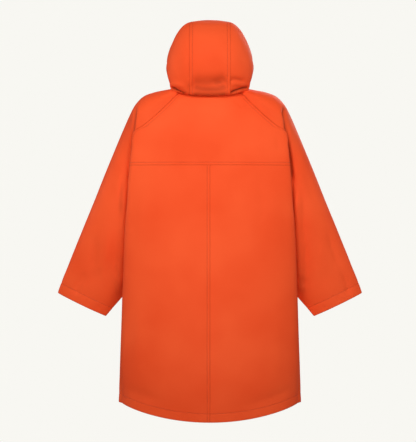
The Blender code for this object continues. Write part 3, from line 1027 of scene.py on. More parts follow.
@dataclass(frozen=True)
class WovenBacking:
    """The bare cotton side of the same cloth: dull, woven, a little greyer than the coating."""

    colour: str = "#D6532F"
    deep: str = "#B83F20"
    thread_mm: float = 1.4  # real threads are 0.35 mm apart; drawn coarser, so that they show
    thread_height_mm: float = 0.2
    thread_strength: float = 0.3
    roughness: float = 0.9

    def material(self) -> bpy.types.Material:
        """Make the material.

        Returns:
            The material.
        """
        material, tree, shader = new_material("woven_cotton")
        cloth_uv = add_node(tree, "ShaderNodeUVMap", uv_map="cloth").outputs["UV"]
        bands = {"Vector": cloth_uv, "Scale": WAVE_REPEAT / (self.thread_mm * MM)}
        threads = {}
        for socket, way in enumerate(("X", "Y")):
            node = add_node(tree, "ShaderNodeTexWave", bands, bands_direction=way)
            threads[socket] = node.outputs["Fac"]
        weave = add_node(tree, "ShaderNodeMath", threads, operation="MULTIPLY").outputs["Value"]
        ends = {MIX_SHARE: weave, MIX_FIRST: linear(self.deep), MIX_SECOND: linear(self.colour)}
        colour = add_node(tree, "ShaderNodeMix", ends, data_type="RGBA").outputs[MIX_RESULT]
        tree.links.new(colour, shader.inputs["Base Color"])
        raised = {"Height": weave, "Strength": self.thread_strength}
        raised["Distance"] = self.thread_height_mm * MM
        bump = add_node(tree, "ShaderNodeBump", raised).outputs["Normal"]
        tree.links.new(bump, shader.inputs["Normal"])
        shader.inputs["Roughness"].default_value = self.roughness
        shader.inputs["Specular IOR Level"].default_value = 0.2
        return material


@dataclass(frozen=True)
class SpunThread:
    """Spun polyester sewing thread in the cloth's colour: slightly glossier, with a fine twist."""

    colour: str = "#EE5227"
    deep: str = "#D9461F"
    twist_mm: float = 0.8
    roughness: float = 0.45

    def material(self) -> bpy.types.Material:
        """Make the material.

        Returns:
            The material.
        """
        material, tree, shader = new_material("spun_polyester_thread")
        place = add_node(tree, "ShaderNodeTexCoord").outputs["Object"]
        bands = {"Vector": place, "Scale": WAVE_REPEAT / (self.twist_mm * MM), "Distortion": 1.0}
        node = add_node(tree, "ShaderNodeTexWave", bands, bands_direction="DIAGONAL")
        twist = node.outputs["Fac"]
        ends = {MIX_SHARE: twist, MIX_FIRST: linear(self.deep), MIX_SECOND: linear(self.colour)}
        colour = add_node(tree, "ShaderNodeMix", ends, data_type="RGBA").outputs[MIX_RESULT]
        tree.links.new(colour, shader.inputs["Base Color"])
        shader.inputs["Roughness"].default_value = self.roughness
        return material


@dataclass(frozen=True)
class LacqueredCap:
    """A pressed cap under satin lacquer in the cloth's colour: even, with a broad highlight."""

    colour: str = "#D24A1F"
    worn: str = "#E2673C"
    smoothest: float = 0.26
    roughest: float = 0.40
    fleck_mm: float = 2.5

    def material(self) -> bpy.types.Material:
        """Make the material.

        Returns:
            The material.
        """
        material, tree, shader = new_material("satin_lacquer")
        place = add_node(tree, "ShaderNodeTexCoord").outputs["Object"]
        noise = {"Vector": place, "Scale": 1 / (self.fleck_mm * MM), "Detail": 2.0}
        fleck = add_node(tree, "ShaderNodeTexNoise", noise).outputs["Fac"]
        spread = {"Value": fleck, "From Min": 0.5, "From Max": 0.8, "To Max": 0.5}
        share = add_node(tree, "ShaderNodeMapRange", spread).outputs["Result"]
        ends = {MIX_SHARE: share, MIX_FIRST: linear(self.colour), MIX_SECOND: linear(self.worn)}
        colour = add_node(tree, "ShaderNodeMix", ends, data_type="RGBA").outputs[MIX_RESULT]
        tree.links.new(colour, shader.inputs["Base Color"])
        spread = {"Value": fleck, "From Min": 0.3, "From Max": 0.7}
        spread |= {"To Min": self.smoothest, "To Max": self.roughest}
        rough = add_node(tree, "ShaderNodeMapRange", spread).outputs["Result"]
        tree.links.new(rough, shader.inputs["Roughness"])
        shader.inputs["Coat Weight"].default_value = 0.25
        shader.inputs["Coat Roughness"].default_value = 0.2
        return material


@dataclass(frozen=True)
class StudioPaper:
    """Evenly lit white studio paper: one flat warm white with no shadow."""

    colour: str = "#F8F7F2"

    def material(self) -> bpy.types.Material:
        """Make the material.

        Returns:
            The material.
        """
        material, _, shader = new_material("studio_paper")
        shader.inputs["Base Color"].default_value = (0.0, 0.0, 0.0, 1.0)
        shader.inputs["Specular IOR Level"].default_value = 0.0
        shader.inputs["Emission Color"].default_value = linear(self.colour)
        shader.inputs["Emission Strength"].default_value = 1.0
        return material


@dataclass
class Wardrobe:
    """The finishes that the pieces share, each made once."""

    coating: bpy.types.Material = field(default_factory=lambda: RubberisedCotton().material())
    backing: bpy.types.Material = field(default_factory=lambda: WovenBacking().material())
    thread: bpy.types.Material = field(default_factory=lambda: SpunThread().material())
    cap: bpy.types.Material = field(default_factory=lambda: LacqueredCap().material())


# ---------------------------------------------------------------- making pieces


def add_piece(name: str, mesh: bpy.types.Mesh) -> bpy.types.Object:
    """Put a mesh in the scene as a piece of the coat.

    Args:
        name: The piece's name.
        mesh: Its mesh, already in place.

    Returns:
        The object.
    """
    piece = bpy.data.objects.new(name, mesh)
    bpy.context.scene.collection.objects.link(piece)
    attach(piece, BODY_NAME)
    return piece


def made_up(
    grid: ClothGrid,
    wardrobe: Wardrobe,
    nodes: Sequence[str],
    flat: tuple[float, float],
) -> bpy.types.Object:
    """Make the cloth piece of a finished grid, with its wall and its two faces.

    Args:
        grid: The finished grid.
        wardrobe: The finishes.
        nodes: The solids that it stands for.
        flat: The width and length of its cut that show, in metres. Not used.

    Returns:
        The object.
    """
    rows, columns = grid.points.shape[:2]
    form = bmesh.new()
    bmesh.ops.create_grid(form, x_segments=columns - 1, y_segments=rows - 1, size=0.5)
    if grid.handed > 0:
        bmesh.ops.reverse_faces(form, faces=form.faces)
    mesh = bpy.data.meshes.new(grid.name)
    form.to_mesh(mesh)
    form.free()
    plain = np.empty(len(mesh.vertices) * 3)
    mesh.vertices.foreach_get("co", plain)
    plain = plain.reshape(-1, 3) + 0.5
    column = np.rint(plain[:, 0] * (columns - 1)).astype(int)
    row = np.rint(plain[:, 1] * (rows - 1)).astype(int)
    mesh.vertices.foreach_set("co", (grid.points[row, column] * MM).ravel())
    # the painted shade of seams, stitch lines and creases, kept on the mesh for the material
    painted_shade = mesh.attributes.new("painted_shade", "FLOAT", "POINT")
    painted_shade.data.foreach_set("value", grid.painted_shade[row, column])
    corner = np.empty(len(mesh.loops), np.int32)
    mesh.loops.foreach_get("vertex_index", corner)
    cloth_uv = np.stack([grid.across[row, column], grid.along[row, column]], axis=-1) * MM
    layer = mesh.uv_layers.new(name="cloth")
    layer.data.foreach_set("uv", cloth_uv[corner].ravel())
    mesh.shade_smooth()
    mesh.update()
    mesh.materials.append(wardrobe.coating)
    mesh.materials.append(wardrobe.backing)
    piece = add_piece(grid.name, mesh)
    wall = piece.modifiers.new("wall", "SOLIDIFY")
    wall.thickness = CLOTH * MM
    wall.offset = 0.0
    wall.material_offset = 1
    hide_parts(*nodes)
    width, length = np.ptp(grid.across), np.ptp(grid.along)
    LOG.info("%s: cut %.0f x %.0f mm, %.3f m2", grid.name, width, length, grid.area())
    return piece


@dataclass
class Topstitching:
    """Rows of machine stitches: each a short raised thread that dips into the cloth at its ends.

    Attributes:
        name: The piece's name.
        pitch: From one stitch to the next. Real ones are 3 mm; a little longer, so that they show.
        length: The length that shows.
        breadth: The thread's breadth.
        proud: How far the thread's middle stands off the cloth.
        reach: How far to either side the way along the line is read.
    """

    name: str
    pitch: float = 4.0
    length: float = 3.0
    breadth: float = 0.62
    proud: float = 0.12
    reach: float = 1.2
    lines: list[tuple[np.ndarray, np.ndarray]] = field(default_factory=list)

    def follow(self, grid: ClothGrid, edge: Edge) -> None:
        """Add the stitch line along an edge of a finished panel.

        Args:
            grid: The panel, before any edge is turned in.
            edge: The edge.
        """
        points, outward, place = grid.line(edge)
        shown = place <= grid.work[edge].until
        self.lines.append((points[shown], outward[shown]))

    def build(self, wardrobe: Wardrobe) -> bpy.types.Object:
        """Make all the stitches as one piece.

        Args:
            wardrobe: The finishes.

        Returns:
            The object.
        """
        mesh = bpy.data.meshes.new(self.name)
        whole = bmesh.new()
        for points, outward in self.lines:
            steps = np.linalg.norm(np.diff(points, axis=0), axis=1)
            run = np.concatenate([[0.0], np.cumsum(steps)])
            middles = np.arange(self.pitch, run[-1] - self.pitch / 2, self.pitch)
            seam = bmesh.new()
            for middle in middles:
                self._add_stitch(seam, run, points, outward, float(middle))
            seam.to_mesh(mesh)
            seam.free()
            whole.from_mesh(mesh)
        whole.to_mesh(mesh)
        whole.free()
        mesh.shade_smooth()
        mesh.materials.append(wardrobe.thread)
        return add_piece(self.name, mesh)

    def _add_stitch(
        self,
        form: bmesh.types.BMesh,
        run: np.ndarray,
        points: np.ndarray,
        outward: np.ndarray,
        middle: float,
    ) -> None:
        """Add one stitch.

        Args:
            form: The mesh that it goes into.
            run: The distance of each point along the line.
            points: The line's points.
            outward: The way out of the cloth at each.
            middle: The distance of the stitch's middle.
        """

        def at(values: np.ndarray, distance: float) -> np.ndarray:
            """Read values of the line at a distance along it."""
            return np.array([np.interp(distance, run, values[:, axis]) for axis in range(3)])

        along = unit(at(points, middle + self.reach) - at(points, middle - self.reach))
        out = at(outward, middle)
        out = unit(out - along * float(np.dot(out, along)))
        centre = at(points, middle) + out * (CLOTH / 2 + self.proud)
        frame_axes = np.eye(4)
        frame_axes[:3, 0] = along * self.length / 2 * MM
        frame_axes[:3, 1] = np.cross(out, along) * self.breadth / 2 * MM
        frame_axes[:3, 2] = out * self.breadth / 2 * MM
        frame_axes[:3, 3] = centre * MM
        bmesh.ops.create_icosphere(form, subdivisions=1, radius=1.0, matrix=Matrix(frame_axes))


def dense_rows(
    places: np.ndarray, row_points: Callable[[float], np.ndarray], mirrored: bool = False
) -> np.ndarray:
    """Collect close rows of points, each with its table row.

    Args:
        places: The fractional rows.
        row_points: Gives the points of one row.
        mirrored: Whether they go to the wearer's right.

    Returns:
        Rows of points with their table row as a fourth value.
    """
    rows = np.array([row_points(float(place)) for place in places])
    if mirrored:
        rows[..., 0] *= -1
    tagged = np.broadcast_to(places[:, None, None], (*rows.shape[:2], 1))
    return np.concatenate([rows, tagged], axis=2)


# ---------------------------------------------------------------- the coat's sub-assemblies


@dataclass
class ClothPart:
    """A sub-assembly of cloth panels, with the finishes and the thread that it is made with."""

    wardrobe: Wardrobe
    stitching: Topstitching

    def dress(
        self, grid: ClothGrid, creases: Sequence[Crease], slack: tuple[float, float], seed: float
    ) -> None:
        """Give a panel its drags, its creases and its sewing, and take its stitch lines.

        Args:
            grid: The panel.
            creases: Its creases.
            slack: The height and the pitch of its drags.
            seed: Where the drags fall.
        """
        grid.slacken(*slack, seed)
        grid.crease(creases)
        grid.sew()
        for edge, edge_work in grid.work.items():
            if edge_work.kind is not EdgeKind.SEAM:
                self.stitching.follow(grid, edge)


@dataclass
class BackBody(ClothPart):
    """The back: a yoke across the shoulders, and two panels that meet at the centre-back seam."""

    pitch: float = 5.0
    rows_each: int = 45
    columns: int = 240
    hem: EdgeWork = EdgeWork(EdgeKind.TURNED, stitch=25.0, lean=0.4, seed=2.2, pucker=0.25)
    side_allowance: float = 0.3  # below the underarm, where more would lie in the open
    allowance_end: float = 0.3  # how far above the underarm it has shrunk to that, in rows
    yoke_flat: tuple[float, float] = (0.56, 0.25)
    back_flat: tuple[float, float] = (0.36, 0.8)
    yoke_slack: tuple[float, float] = (0.18, 60.0)  # the height and the pitch of the drags
    back_slack: tuple[float, float] = (0.25, 66.0)
    # the roll under the hood, a drag from each end of it, drags above the lower seam, and the
    # pull towards each armhole
    yoke_creases: tuple[Crease, ...] = Crease.on(
        Facing.BACK,
        (((58, -8), (20, -13), (-20, -13), (-58, -8)), -1.2, 10),
        (((66, -12), (84, -34), (96, -58)), 1.2, 16),
        (((-64, -10), (-86, -30), (-104, -50)), 1.5, 16),
        (((163, -176), (160, -196), (158, -212)), 1.0, 8),
        (((140, -186), (138, -212)), 0.8, 7),
        (((-46, -190), (-44, -213)), 0.8, 7),
        (((-72, -180), (-76, -198), (-78, -213)), 1.1, 9),
        (((-90, -194), (-92, -213)), 0.7, 6),
        (((204, -112), (200, -150), (206, -200)), 1.4, 24),
        (((-206, -110), (-204, -150), (-210, -206)), 1.6, 22),
    )
    # long drags from the seam, the pull at the armhole, the hollow above the stitched hem, the
    # hem that is drawn in, and drags down the side
    left_creases: tuple[Crease, ...] = (
        *Crease.on(
            Facing.BACK,
            (((162, -222), (158, -300), (150, -420)), 0.9, 26, 0.3),
            (((64, -240), (70, -400), (62, -560)), 0.8, 30),
            (((218, -250), (226, -380), (232, -520)), 1.3, 24),
            (((118, -520), (126, -680), (120, -850)), 1.2, 34),
            (((206, -600), (214, -740), (222, -880)), -1.3, 30),
            (((270, -884), (230, -900), (180, -914), (118, -930)), 2.6, 26),
            (((310, -936), (160, -966), (0, -984), (-80, -984)), 8.0, 150, 0.01),
        ),
        *Crease.on(
            Facing.LEFT,
            (((20, -420), (8, -600), (-4, -800)), 2.2, 34),
            (((60, -640), (44, -780), (30, -900)), -1.6, 26),
        ),
    )
    right_creases: tuple[Crease, ...] = (
        *Crease.on(
            Facing.BACK,
            (((-150, -222), (-154, -330), (-146, -450)), 1.1, 26, 0.3),
            (((-52, -300), (-46, -460), (-56, -640)), 0.8, 30),
            (((-214, -256), (-224, -400), (-226, -560)), 1.5, 26),
            (((-106, -560), (-98, -700), (-110, -880)), 1.1, 34),
            (((-196, -620), (-206, -760), (-200, -890)), -1.2, 28),
            (((-272, -882), (-220, -902), (-150, -924), (-60, -942)), 2.3, 24),
            (((-310, -936), (-160, -966), (0, -984), (80, -984)), 8.0, 150, 0.01),
        ),
        *Crease.on(
            Facing.RIGHT,
            (((14, -450), (4, -640), (-6, -830)), 2.4, 34),
            (((64, -600), (50, -760), (38, -890)), -1.6, 26),
        ),
    )

    def build(self) -> list[bpy.types.Object]:
        """Make the yoke and both back panels."""
        return [self._yoke(), self._back("left", False), self._back("right", True)]

    def _yoke(self) -> bpy.types.Object:
        """Make the yoke, which is topstitched along both raglan seams and its lower seam.

        Returns:
            The piece.
        """
        side = np.linspace(-1, 1, 2 * self.columns + 1)

        def row_points(place: float) -> np.ndarray:
            """Find one row, from the right raglan seam to the left one.

            Args:
                place: The fractional row.

            Returns:
                The row's points.
            """
            row = through(BACK, place)
            points = section(row, np.abs(side) * (1 + tuck_of(row)))
            points[:, 0] *= np.sign(side)
            return points

        places = np.linspace(0, YOKE_ROW, YOKE_ROW * self.rows_each + 1)
        work = {
            Edge.START: EdgeWork(EdgeKind.STITCHED, SEAM_HALF, seed=3.1),
            Edge.END: EdgeWork(EdgeKind.STITCHED, SEAM_HALF, seed=4.7),
            Edge.BOTTOM: EdgeWork(EdgeKind.STITCHED, SEAM_HALF, seed=1.4, pucker=0.35),
        }
        grid = ClothGrid.laid_out("yoke", dense_rows(places, row_points), work, -1, self.pitch)
        self.dress(grid, self.yoke_creases, self.yoke_slack, 0.7)
        grid.add_allowance(Edge.START)
        grid.add_allowance(Edge.END)
        return made_up(grid, self.wardrobe, ["back_yoke"], self.yoke_flat)

    def _back(self, name: str, mirrored: bool) -> bpy.types.Object:
        """Make one back panel. The centre-back allowance is stitched down on the wearer's left.

        Args:
            name: The wearer's side.
            mirrored: Whether that is the right.

        Returns:
            The piece.
        """
        shares = np.linspace(0, 1, self.columns + 1)

        def row_points(place: float) -> np.ndarray:
            """Find one row, from the centre back to the raglan seam or the side seam."""
            row = through(BACK, place)
            return section(row, shares * (1 + tuck_of(row)))

        count = (HEM_ROW - YOKE_ROW) * self.rows_each + 1
        places = np.linspace(YOKE_ROW, HEM_ROW, count)
        centre = EdgeKind.SEAM if mirrored else EdgeKind.STITCHED
        stitched = EdgeKind.STITCHED
        work = {
            Edge.START: EdgeWork(centre, SEAM_HALF, seed=5.3),
            Edge.END: EdgeWork(stitched, SEAM_HALF, until=UNDERARM_ROW - RAGLAN_END, seed=6.1),
            Edge.TOP: EdgeWork(EdgeKind.SEAM, SEAM_HALF, seed=1.4),
            Edge.BOTTOM: self.hem,
        }
        dense = dense_rows(places, row_points, mirrored)
        handed = 1 if mirrored else -1
        grid = ClothGrid.laid_out(f"back_panel_{name}", dense, work, handed, self.pitch)
        creases = self.right_creases if mirrored else self.left_creases
        self.dress(grid, creases, self.back_slack, 2.9 if mirrored else 1.3)
        above = UNDERARM_ROW - self.allowance_end - towards(grid.place, Edge.END)[-1]
        reach = self.side_allowance + (ALLOWANCE - self.side_allowance) * smooth_step(above)
        grid.add_allowance(Edge.END, reach)
        grid.add_allowance(Edge.TOP)
        if mirrored:
            grid.add_allowance(Edge.START)
        grid.turn_in(Edge.BOTTOM)
        return made_up(grid, self.wardrobe, [f"back_{name}"], self.back_flat)


@dataclass
class Fronts(ClothPart):
    """The two fronts. The left one laps over the right, and each edge is turned in."""

    pitch: float = 5.2
    rows_each: int = 40
    columns: int = 220
    lap: float = 20.0  # how far each front runs past the middle
    lap_cover: float = 22.0  # the right front lies fully under the lap as far as this
    lap_ramp: float = 26.0  # and rises to its own place over this
    lap_drop: float = 3.8
    slack: tuple[float, float] = (0.4, 66.0)
    hem: EdgeWork = EdgeWork(EdgeKind.TURNED, stitch=25.0, lean=0.8, seed=3.9, pucker=0.25)
    edge: EdgeWork = EdgeWork(EdgeKind.TURNED, stitch=30.0, seed=7.7, pucker=0.2)
    flat: tuple[float, float] = (0.36, 0.98)
    # pulls from the neck and the armhole, long drags, and the hollow above the stitched hem
    left_creases: tuple[Crease, ...] = Crease.on(
        Facing.FRONT,
        (((70, -70), (104, -120), (128, -180)), 2.2, 18),
        (((176, -190), (150, -260), (134, -340)), 2.6, 24),
        (((60, -180), (66, -330), (58, -480)), 1.2, 26),
        (((120, -430), (132, -600), (124, -800)), 2.0, 34),
        (((196, -480), (210, -640), (222, -860)), -2.0, 32),
        (((72, -620), (64, -760), (70, -900)), 1.4, 26),
        (((266, -896), (200, -912), (120, -920)), 2.6, 24),
    )
    right_creases: tuple[Crease, ...] = Crease.on(
        Facing.FRONT,
        (((-66, -72), (-96, -116), (-126, -166)), 1.9, 20),
        (((-178, -200), (-160, -280), (-128, -370)), 2.4, 22),
        (((-74, -220), (-64, -360), (-72, -520)), 1.4, 28),
        (((-146, -460), (-134, -620), (-148, -790)), 1.8, 30),
        (((-214, -520), (-222, -700), (-230, -880)), -1.8, 30),
        (((-92, -700), (-84, -820), (-90, -910)), 1.5, 24),
        (((-262, -894), (-190, -914), (-110, -922)), 2.4, 24),
    )

    def build(self) -> list[bpy.types.Object]:
        """Make both fronts."""
        return [self._front("left", False), self._front("right", True)]

    def _front(self, name: str, under: bool) -> bpy.types.Object:
        """Make one front; the right one lies under the lap.

        Args:
            name: The wearer's side.
            under: Whether it is the one below.

        Returns:
            The piece.
        """
        shares = np.linspace(0, 1, self.columns + 1)

        def row_points(place: float) -> np.ndarray:
            """Find one row, from the lap's edge to the raglan seam or the side seam.

            Args:
                place: The fractional row.

            Returns:
                The row's points.
            """
            row = through(FRONT, place)
            start, end = -reach_of_x(row, self.lap), 1 + tuck_of(row)
            reach = start + (end - start) * shares
            points = section(row, np.abs(reach))
            points[:, 0] *= np.sign(reach)
            if under:
                past = (self.lap_cover + self.lap_ramp - points[:, 0]) / self.lap_ramp
                drop = self.lap_drop * smooth_step(past)
                points += front_inward(place) * drop[:, None]
            return points

        places = np.linspace(0, HEM_ROW, HEM_ROW * self.rows_each + 1)
        stitched = EdgeKind.STITCHED
        work = {
            Edge.START: self.edge,
            Edge.END: EdgeWork(stitched, SEAM_HALF, until=UNDERARM_ROW - RAGLAN_END, seed=2.6),
            Edge.BOTTOM: self.hem,
        }
        dense = dense_rows(places, row_points, under)
        handed = -1 if under else 1
        grid = ClothGrid.laid_out(f"front_panel_{name}", dense, work, handed, self.pitch)
        creases = self.right_creases if under else self.left_creases
        self.dress(grid, creases, self.slack, 5.1 if under else 3.3)
        grid.add_allowance(Edge.END)
        grid.turn_in(Edge.START)
        grid.turn_in(Edge.BOTTOM)
        return made_up(grid, self.wardrobe, [f"front_{name}"], self.flat)


@dataclass
class RaglanSleeves(ClothPart):
    """Wide sleeves cut in one with the shoulder, drawn in beside the fold of the body.

    A raglan ring is the top of the sleeve, how far the ring swells to the back and the front, and
    where between seam and top it does so. A sleeve ring is closed, and starts at its seam.
    """

    pitch: float = 3.7
    rows_each: int = 40
    columns: int = 240
    raglan: tuple[tuple[float, ...], ...] = (
        (88, 0, 24, 37, -45, 0.35),
        (112, -2, 20, 60.5, -61, 0.35),
        (140, -4, 15, 76, -74, 0.35),
        (170, -6, 9, 84, -84, 0.35),
        (202, -8, -3, 86, -92, 0.35),
        (228, -10, -29, 78, -97, 0.35),
        (248, -13, -65, 66, -99, 0.35),
        (267, -16, -108, 57, -100, 0.37),
        (290.6, -20, -164, 49, -99, 0.4),
        (323.5, -24, -243, 42, -96, 0.45),
    )
    sleeve: tuple[tuple[float, ...], ...] = (
        (230, -8, -405, 354, -28, -319, 32, -92),
        (229, -28, -490, 389.5, -36, -404, 16, -88),
        (233, -42, -553, 422, -46, -482, -1, -87),
        (249, -50, -592.5, 446, -52, -541.5, -14, -88),
        (284, -56, -633.5, 460, -56, -574.5, -23, -89),
        (322.5, -60, -678.5, 471, -60, -606, -31, -89),
    )
    middle: float = 0.5  # where a closed ring swells, between its seam and its top
    solid_wall: float = 1.6
    full_lift_fold: float = 0.6  # how sharply a sleeve folds back on the panel to lie fully off it
    seam_fade: int = 8  # how fast the gap at the seams dies out along the neck edge
    # the line beside which the sleeve's back is drawn in: its x at its top, and its slope
    fold_x: float = 219.0
    fold_top_z: float = -25.0
    fold_slope: float = 0.12
    # how deep it is drawn in there, and over what distances that begins and ends
    fold_depth: float = 11.0
    fold_drop: float = 6.0
    fold_return: float = 45.0
    fold_top_fade: float = 65.0
    fold_end_z: float = -180.0
    fold_end_fade: float = 90.0
    slack: tuple[float, float] = (0.3, 58.0)
    slack_seed: float = 4.4
    cuff: EdgeWork = EdgeWork(EdgeKind.TURNED, stitch=31.0, lean=0.7, seed=0.9, pucker=0.5)
    flat: tuple[float, float] = (0.50, 0.83)
    # the line beside the body's fold, darkened with painted shade, and the swell beside it, drags down
    # the arm, at the elbow and above the cuff, the fold under the hood's corner with a line of painted
    # shadow; then the front and the shoulder
    left_creases: tuple[Crease, ...] = (
        *Crease.on(
            Facing.BACK,
            (((223, -34), (228, -84), (233, -130), (241, -200), (249, -276)), 7.0, 7, 0.12, 0.55),
            (((248, -262), (253, -350), (258, -430), (263, -520), (268, -620)), 1.5, 4.5, 0.12, 0.2),
            (((261, -270), (266, -400), (272, -500), (280, -620)), -12.0, 22, 0.18),
            (((346, -420), (352, -460), (362, -510), (386, -546)), 4.0, 22),
            (((372, -530), (404, -578), (418, -616)), 3.6, 20),
            (((306, -400), (314, -464), (328, -520), (338, -560)), -2.6, 26),
            (((268, -180), (296, -260), (318, -340)), 1.8, 24),
            (((404, -598), (414, -612)), 1.6, 8),
            (((384, -628), (374, -646)), 1.4, 7),
            (((350, -640), (338, -662)), 1.7, 8),
            (((262, -240), (270, -320), (274, -400)), 3.0, 14, 0.4, 0.2),
            (((134, 28), (112, 20), (102, 11), (92, 6), (83, 1), (66, -5)), 2.0, 7, 0.22, 1.0),
        ),
        *Crease.on(
            Facing.FRONT,
            (((250, -90), (262, -170), (270, -250)), 3.0, 22),
            (((290, -330), (330, -420), (352, -500)), 3.4, 24),
            (((270, -440), (306, -470), (350, -476)), 4.0, 18),
            (((284, -500), (320, -540), (372, -560)), 3.2, 18),
        ),
        *Crease.on(Facing.TOP, (((150, -10), (190, -20), (226, -34)), 1.4, 18)),
    )
    right_creases: tuple[Crease, ...] = (
        *Crease.on(
            Facing.BACK,
            (((-223, -34), (-229, -84), (-235, -130), (-244, -200), (-252, -276)), 13.0, 11, 0.12, 0.65),
            (((-250, -262), (-255, -350), (-260, -430), (-265, -520), (-270, -620)), 1.5, 4.5, 0.12, 0.2),
            (((-262, -270), (-267, -400), (-273, -500), (-281, -620)), -12.0, 22, 0.18),
            (((-360, -392), (-370, -450), (-388, -500), (-412, -552)), 3.8, 20),
            (((-398, -524), (-424, -584), (-428, -624)), 5.0, 19),
            (((-292, -446), (-294, -516)), 2.0, 14),
            (((-268, -548), (-282, -566), (-300, -590)), 4.0, 18),
            (((-330, -440), (-344, -500), (-360, -556)), -2.4, 24),
            (((-272, -190), (-300, -270), (-326, -350)), 1.5, 22),
            (((-398, -612), (-392, -634)), 1.4, 8),
            (((-356, -640), (-346, -662)), 1.3, 7),
            (((-134, 26), (-112, 21), (-93, 15), (-78, 9), (-66, 2), (-54, -6)), 2.0, 7, 0.22, 1.0),
        ),
        *Crease.on(
            Facing.FRONT,
            (((-246, -96), (-262, -180), (-272, -262)), 2.8, 22),
            (((-296, -350), (-334, -430), (-358, -520)), 3.0, 24),
            (((-272, -452), (-312, -484), (-356, -486)), 3.6, 17),
            (((-290, -516), (-328, -550), (-380, -566)), 3.4, 19),
        ),
        *Crease.on(Facing.TOP, (((-146, -8), (-184, -22), (-228, -38)), 1.6, 18)),
    )

    def build(self) -> list[bpy.types.Object]:
        """Make both sleeves.

        Returns:
            The pieces.
        """
        last = len(self.raglan) + len(self.sleeve) - 1
        places = np.linspace(0, last, last * self.rows_each + 1)
        left = dense_rows(places, self._row_points)
        right = left.copy()
        right[..., 0] *= -1
        work = {
            Edge.START: EdgeWork(seed=3.1),
            Edge.END: EdgeWork(seed=2.6),
            Edge.BOTTOM: self.cuff,
        }
        pieces = []
        for name, dense, handed in (("left", left, -1), ("right", right, 1)):
            grid = ClothGrid.laid_out(f"sleeve_panel_{name}", dense, work, handed, self.pitch)
            creases = self.right_creases if handed > 0 else self.left_creases
            self.dress(grid, creases, self.slack, self.slack_seed + handed)
            grid.turn_in(Edge.BOTTOM)
            nodes = [f"sleeve_{name}_back", f"sleeve_{name}_front"]
            pieces.append(made_up(grid, self.wardrobe, nodes, self.flat))
        return pieces

    def _sewn_to(
        self, rows: np.ndarray, place: float, outward: int, leaving: np.ndarray
    ) -> np.ndarray:
        """Find the sleeve's edge at a raglan seam, off the panel where it folds back on it.

        Args:
            rows: The rows of the back or the front.
            place: The fractional row.
            outward: 1 for the back and -1 for the front.
            leaving: The way in which the sleeve leaves the seam.

        Returns:
            The point.
        """
        past, out = raglan_edge(rows, place, outward)
        onward, away = float(np.dot(leaving, past)), float(np.dot(leaving, out))
        fold = 1 - onward / math.hypot(onward, away)
        lift = self.solid_wall / 2 * fold
        lift += 2 * SEAM_HALF * min(fold / self.full_lift_fold, 1.0)
        return seam_point(rows, place) + out * lift + past * SEAM_HALF * max(2 - fold, 0.0)

    def _ring(self, place: float) -> tuple[list[np.ndarray], np.ndarray, float, float, float]:
        """Find the main places of a fractional ring.

        Args:
            place: The fractional ring.

        Returns:
            Its back and front seam, its top, how far it swells to the back and the front, and
            where between seam and top it does so.
        """
        shared = list(self.raglan)
        shared += [(*ring[3:8], self.middle) for ring in self.sleeve]
        values = through(np.array(shared, float), place)
        top, back_y, front_y, middle = values[:3], values[3], values[4], values[5]
        seams = []
        for rows, outward, y in ((BACK, 1, back_y), (FRONT, -1, front_y)):
            raglan_place = min(place, float(UNDERARM_ROW))
            seam = seam_point(rows, raglan_place)
            leaving = (top - seam) * middle
            leaving[1] = 2 * (y - seam[1])
            seams.append(self._sewn_to(rows, raglan_place, outward, leaving))
        if place > UNDERARM_ROW:
            line = np.array([(seams[0] + seams[1]) / 2, *(ring[:3] for ring in self.sleeve)])
            seams = [through(line, place - UNDERARM_ROW)] * 2
        return seams, top, back_y, front_y, middle

    @staticmethod
    def _side(
        seam: np.ndarray, top: np.ndarray, y: float, middle: float, share: np.ndarray
    ) -> np.ndarray:
        """Find half a ring.

        Args:
            seam: Its seam.
            top: Its top.
            y: How far it swells.
            middle: Where between seam and top it does so.
            share: 0 at the seam and 1 at the top.

        Returns:
            A point for each share.
        """
        first = np.clip(share * 2, 0, 1)[:, None]
        points = seam + (top - seam) * middle * first
        points[:, 1] = (seam[1] + (y - seam[1]) * (1 - (1 - first) ** 2))[:, 0]
        angle = (np.clip(share * 2 - 1, 0, 1) * math.pi / 2)[:, None]
        full = seam + (top - seam) * middle
        upper = full + (top - full) * np.sin(angle)
        upper[:, 1] = (top[1] + (y - top[1]) * np.cos(angle))[:, 0]
        return np.where(share[:, None] < 0.5, points, upper)

    def _whole_ring(self, place: float, shares: np.ndarray) -> np.ndarray:
        """Find a ring from its back seam over the top to its front seam.

        Args:
            place: The fractional ring.
            shares: 0 at the back seam and 1 at the front seam.

        Returns:
            A point for each share.
        """
        (back_seam, front_seam), top, back_y, front_y, middle = self._ring(place)
        behind = self._side(back_seam, top, back_y, middle, np.clip(shares * 2, 0, 1))
        before = self._side(front_seam, top, front_y, middle, np.clip(2 - shares * 2, 0, 1))
        return np.where(shares[:, None] <= 0.5, behind, before)

    def _drawn_in(self, points: np.ndarray) -> np.ndarray:
        """Tell how deep the back of the sleeve is drawn in beside the fold that hangs over it.

        Args:
            points: Points of the left sleeve.

        Returns:
            The depth at each.
        """
        z = points[:, 2]
        past = points[:, 0] - self.fold_x - (self.fold_top_z - z) * self.fold_slope
        drawn = smooth_step(past / self.fold_drop)
        drawn = drawn * (1 - smooth_step((past - self.fold_drop) / self.fold_return))
        from_shoulder = smooth_step((self.fold_top_z - z) / self.fold_top_fade)
        to_body = 1 - smooth_step((self.fold_end_z - z) / self.fold_end_fade)
        return self.fold_depth * drawn * from_shoulder * to_body

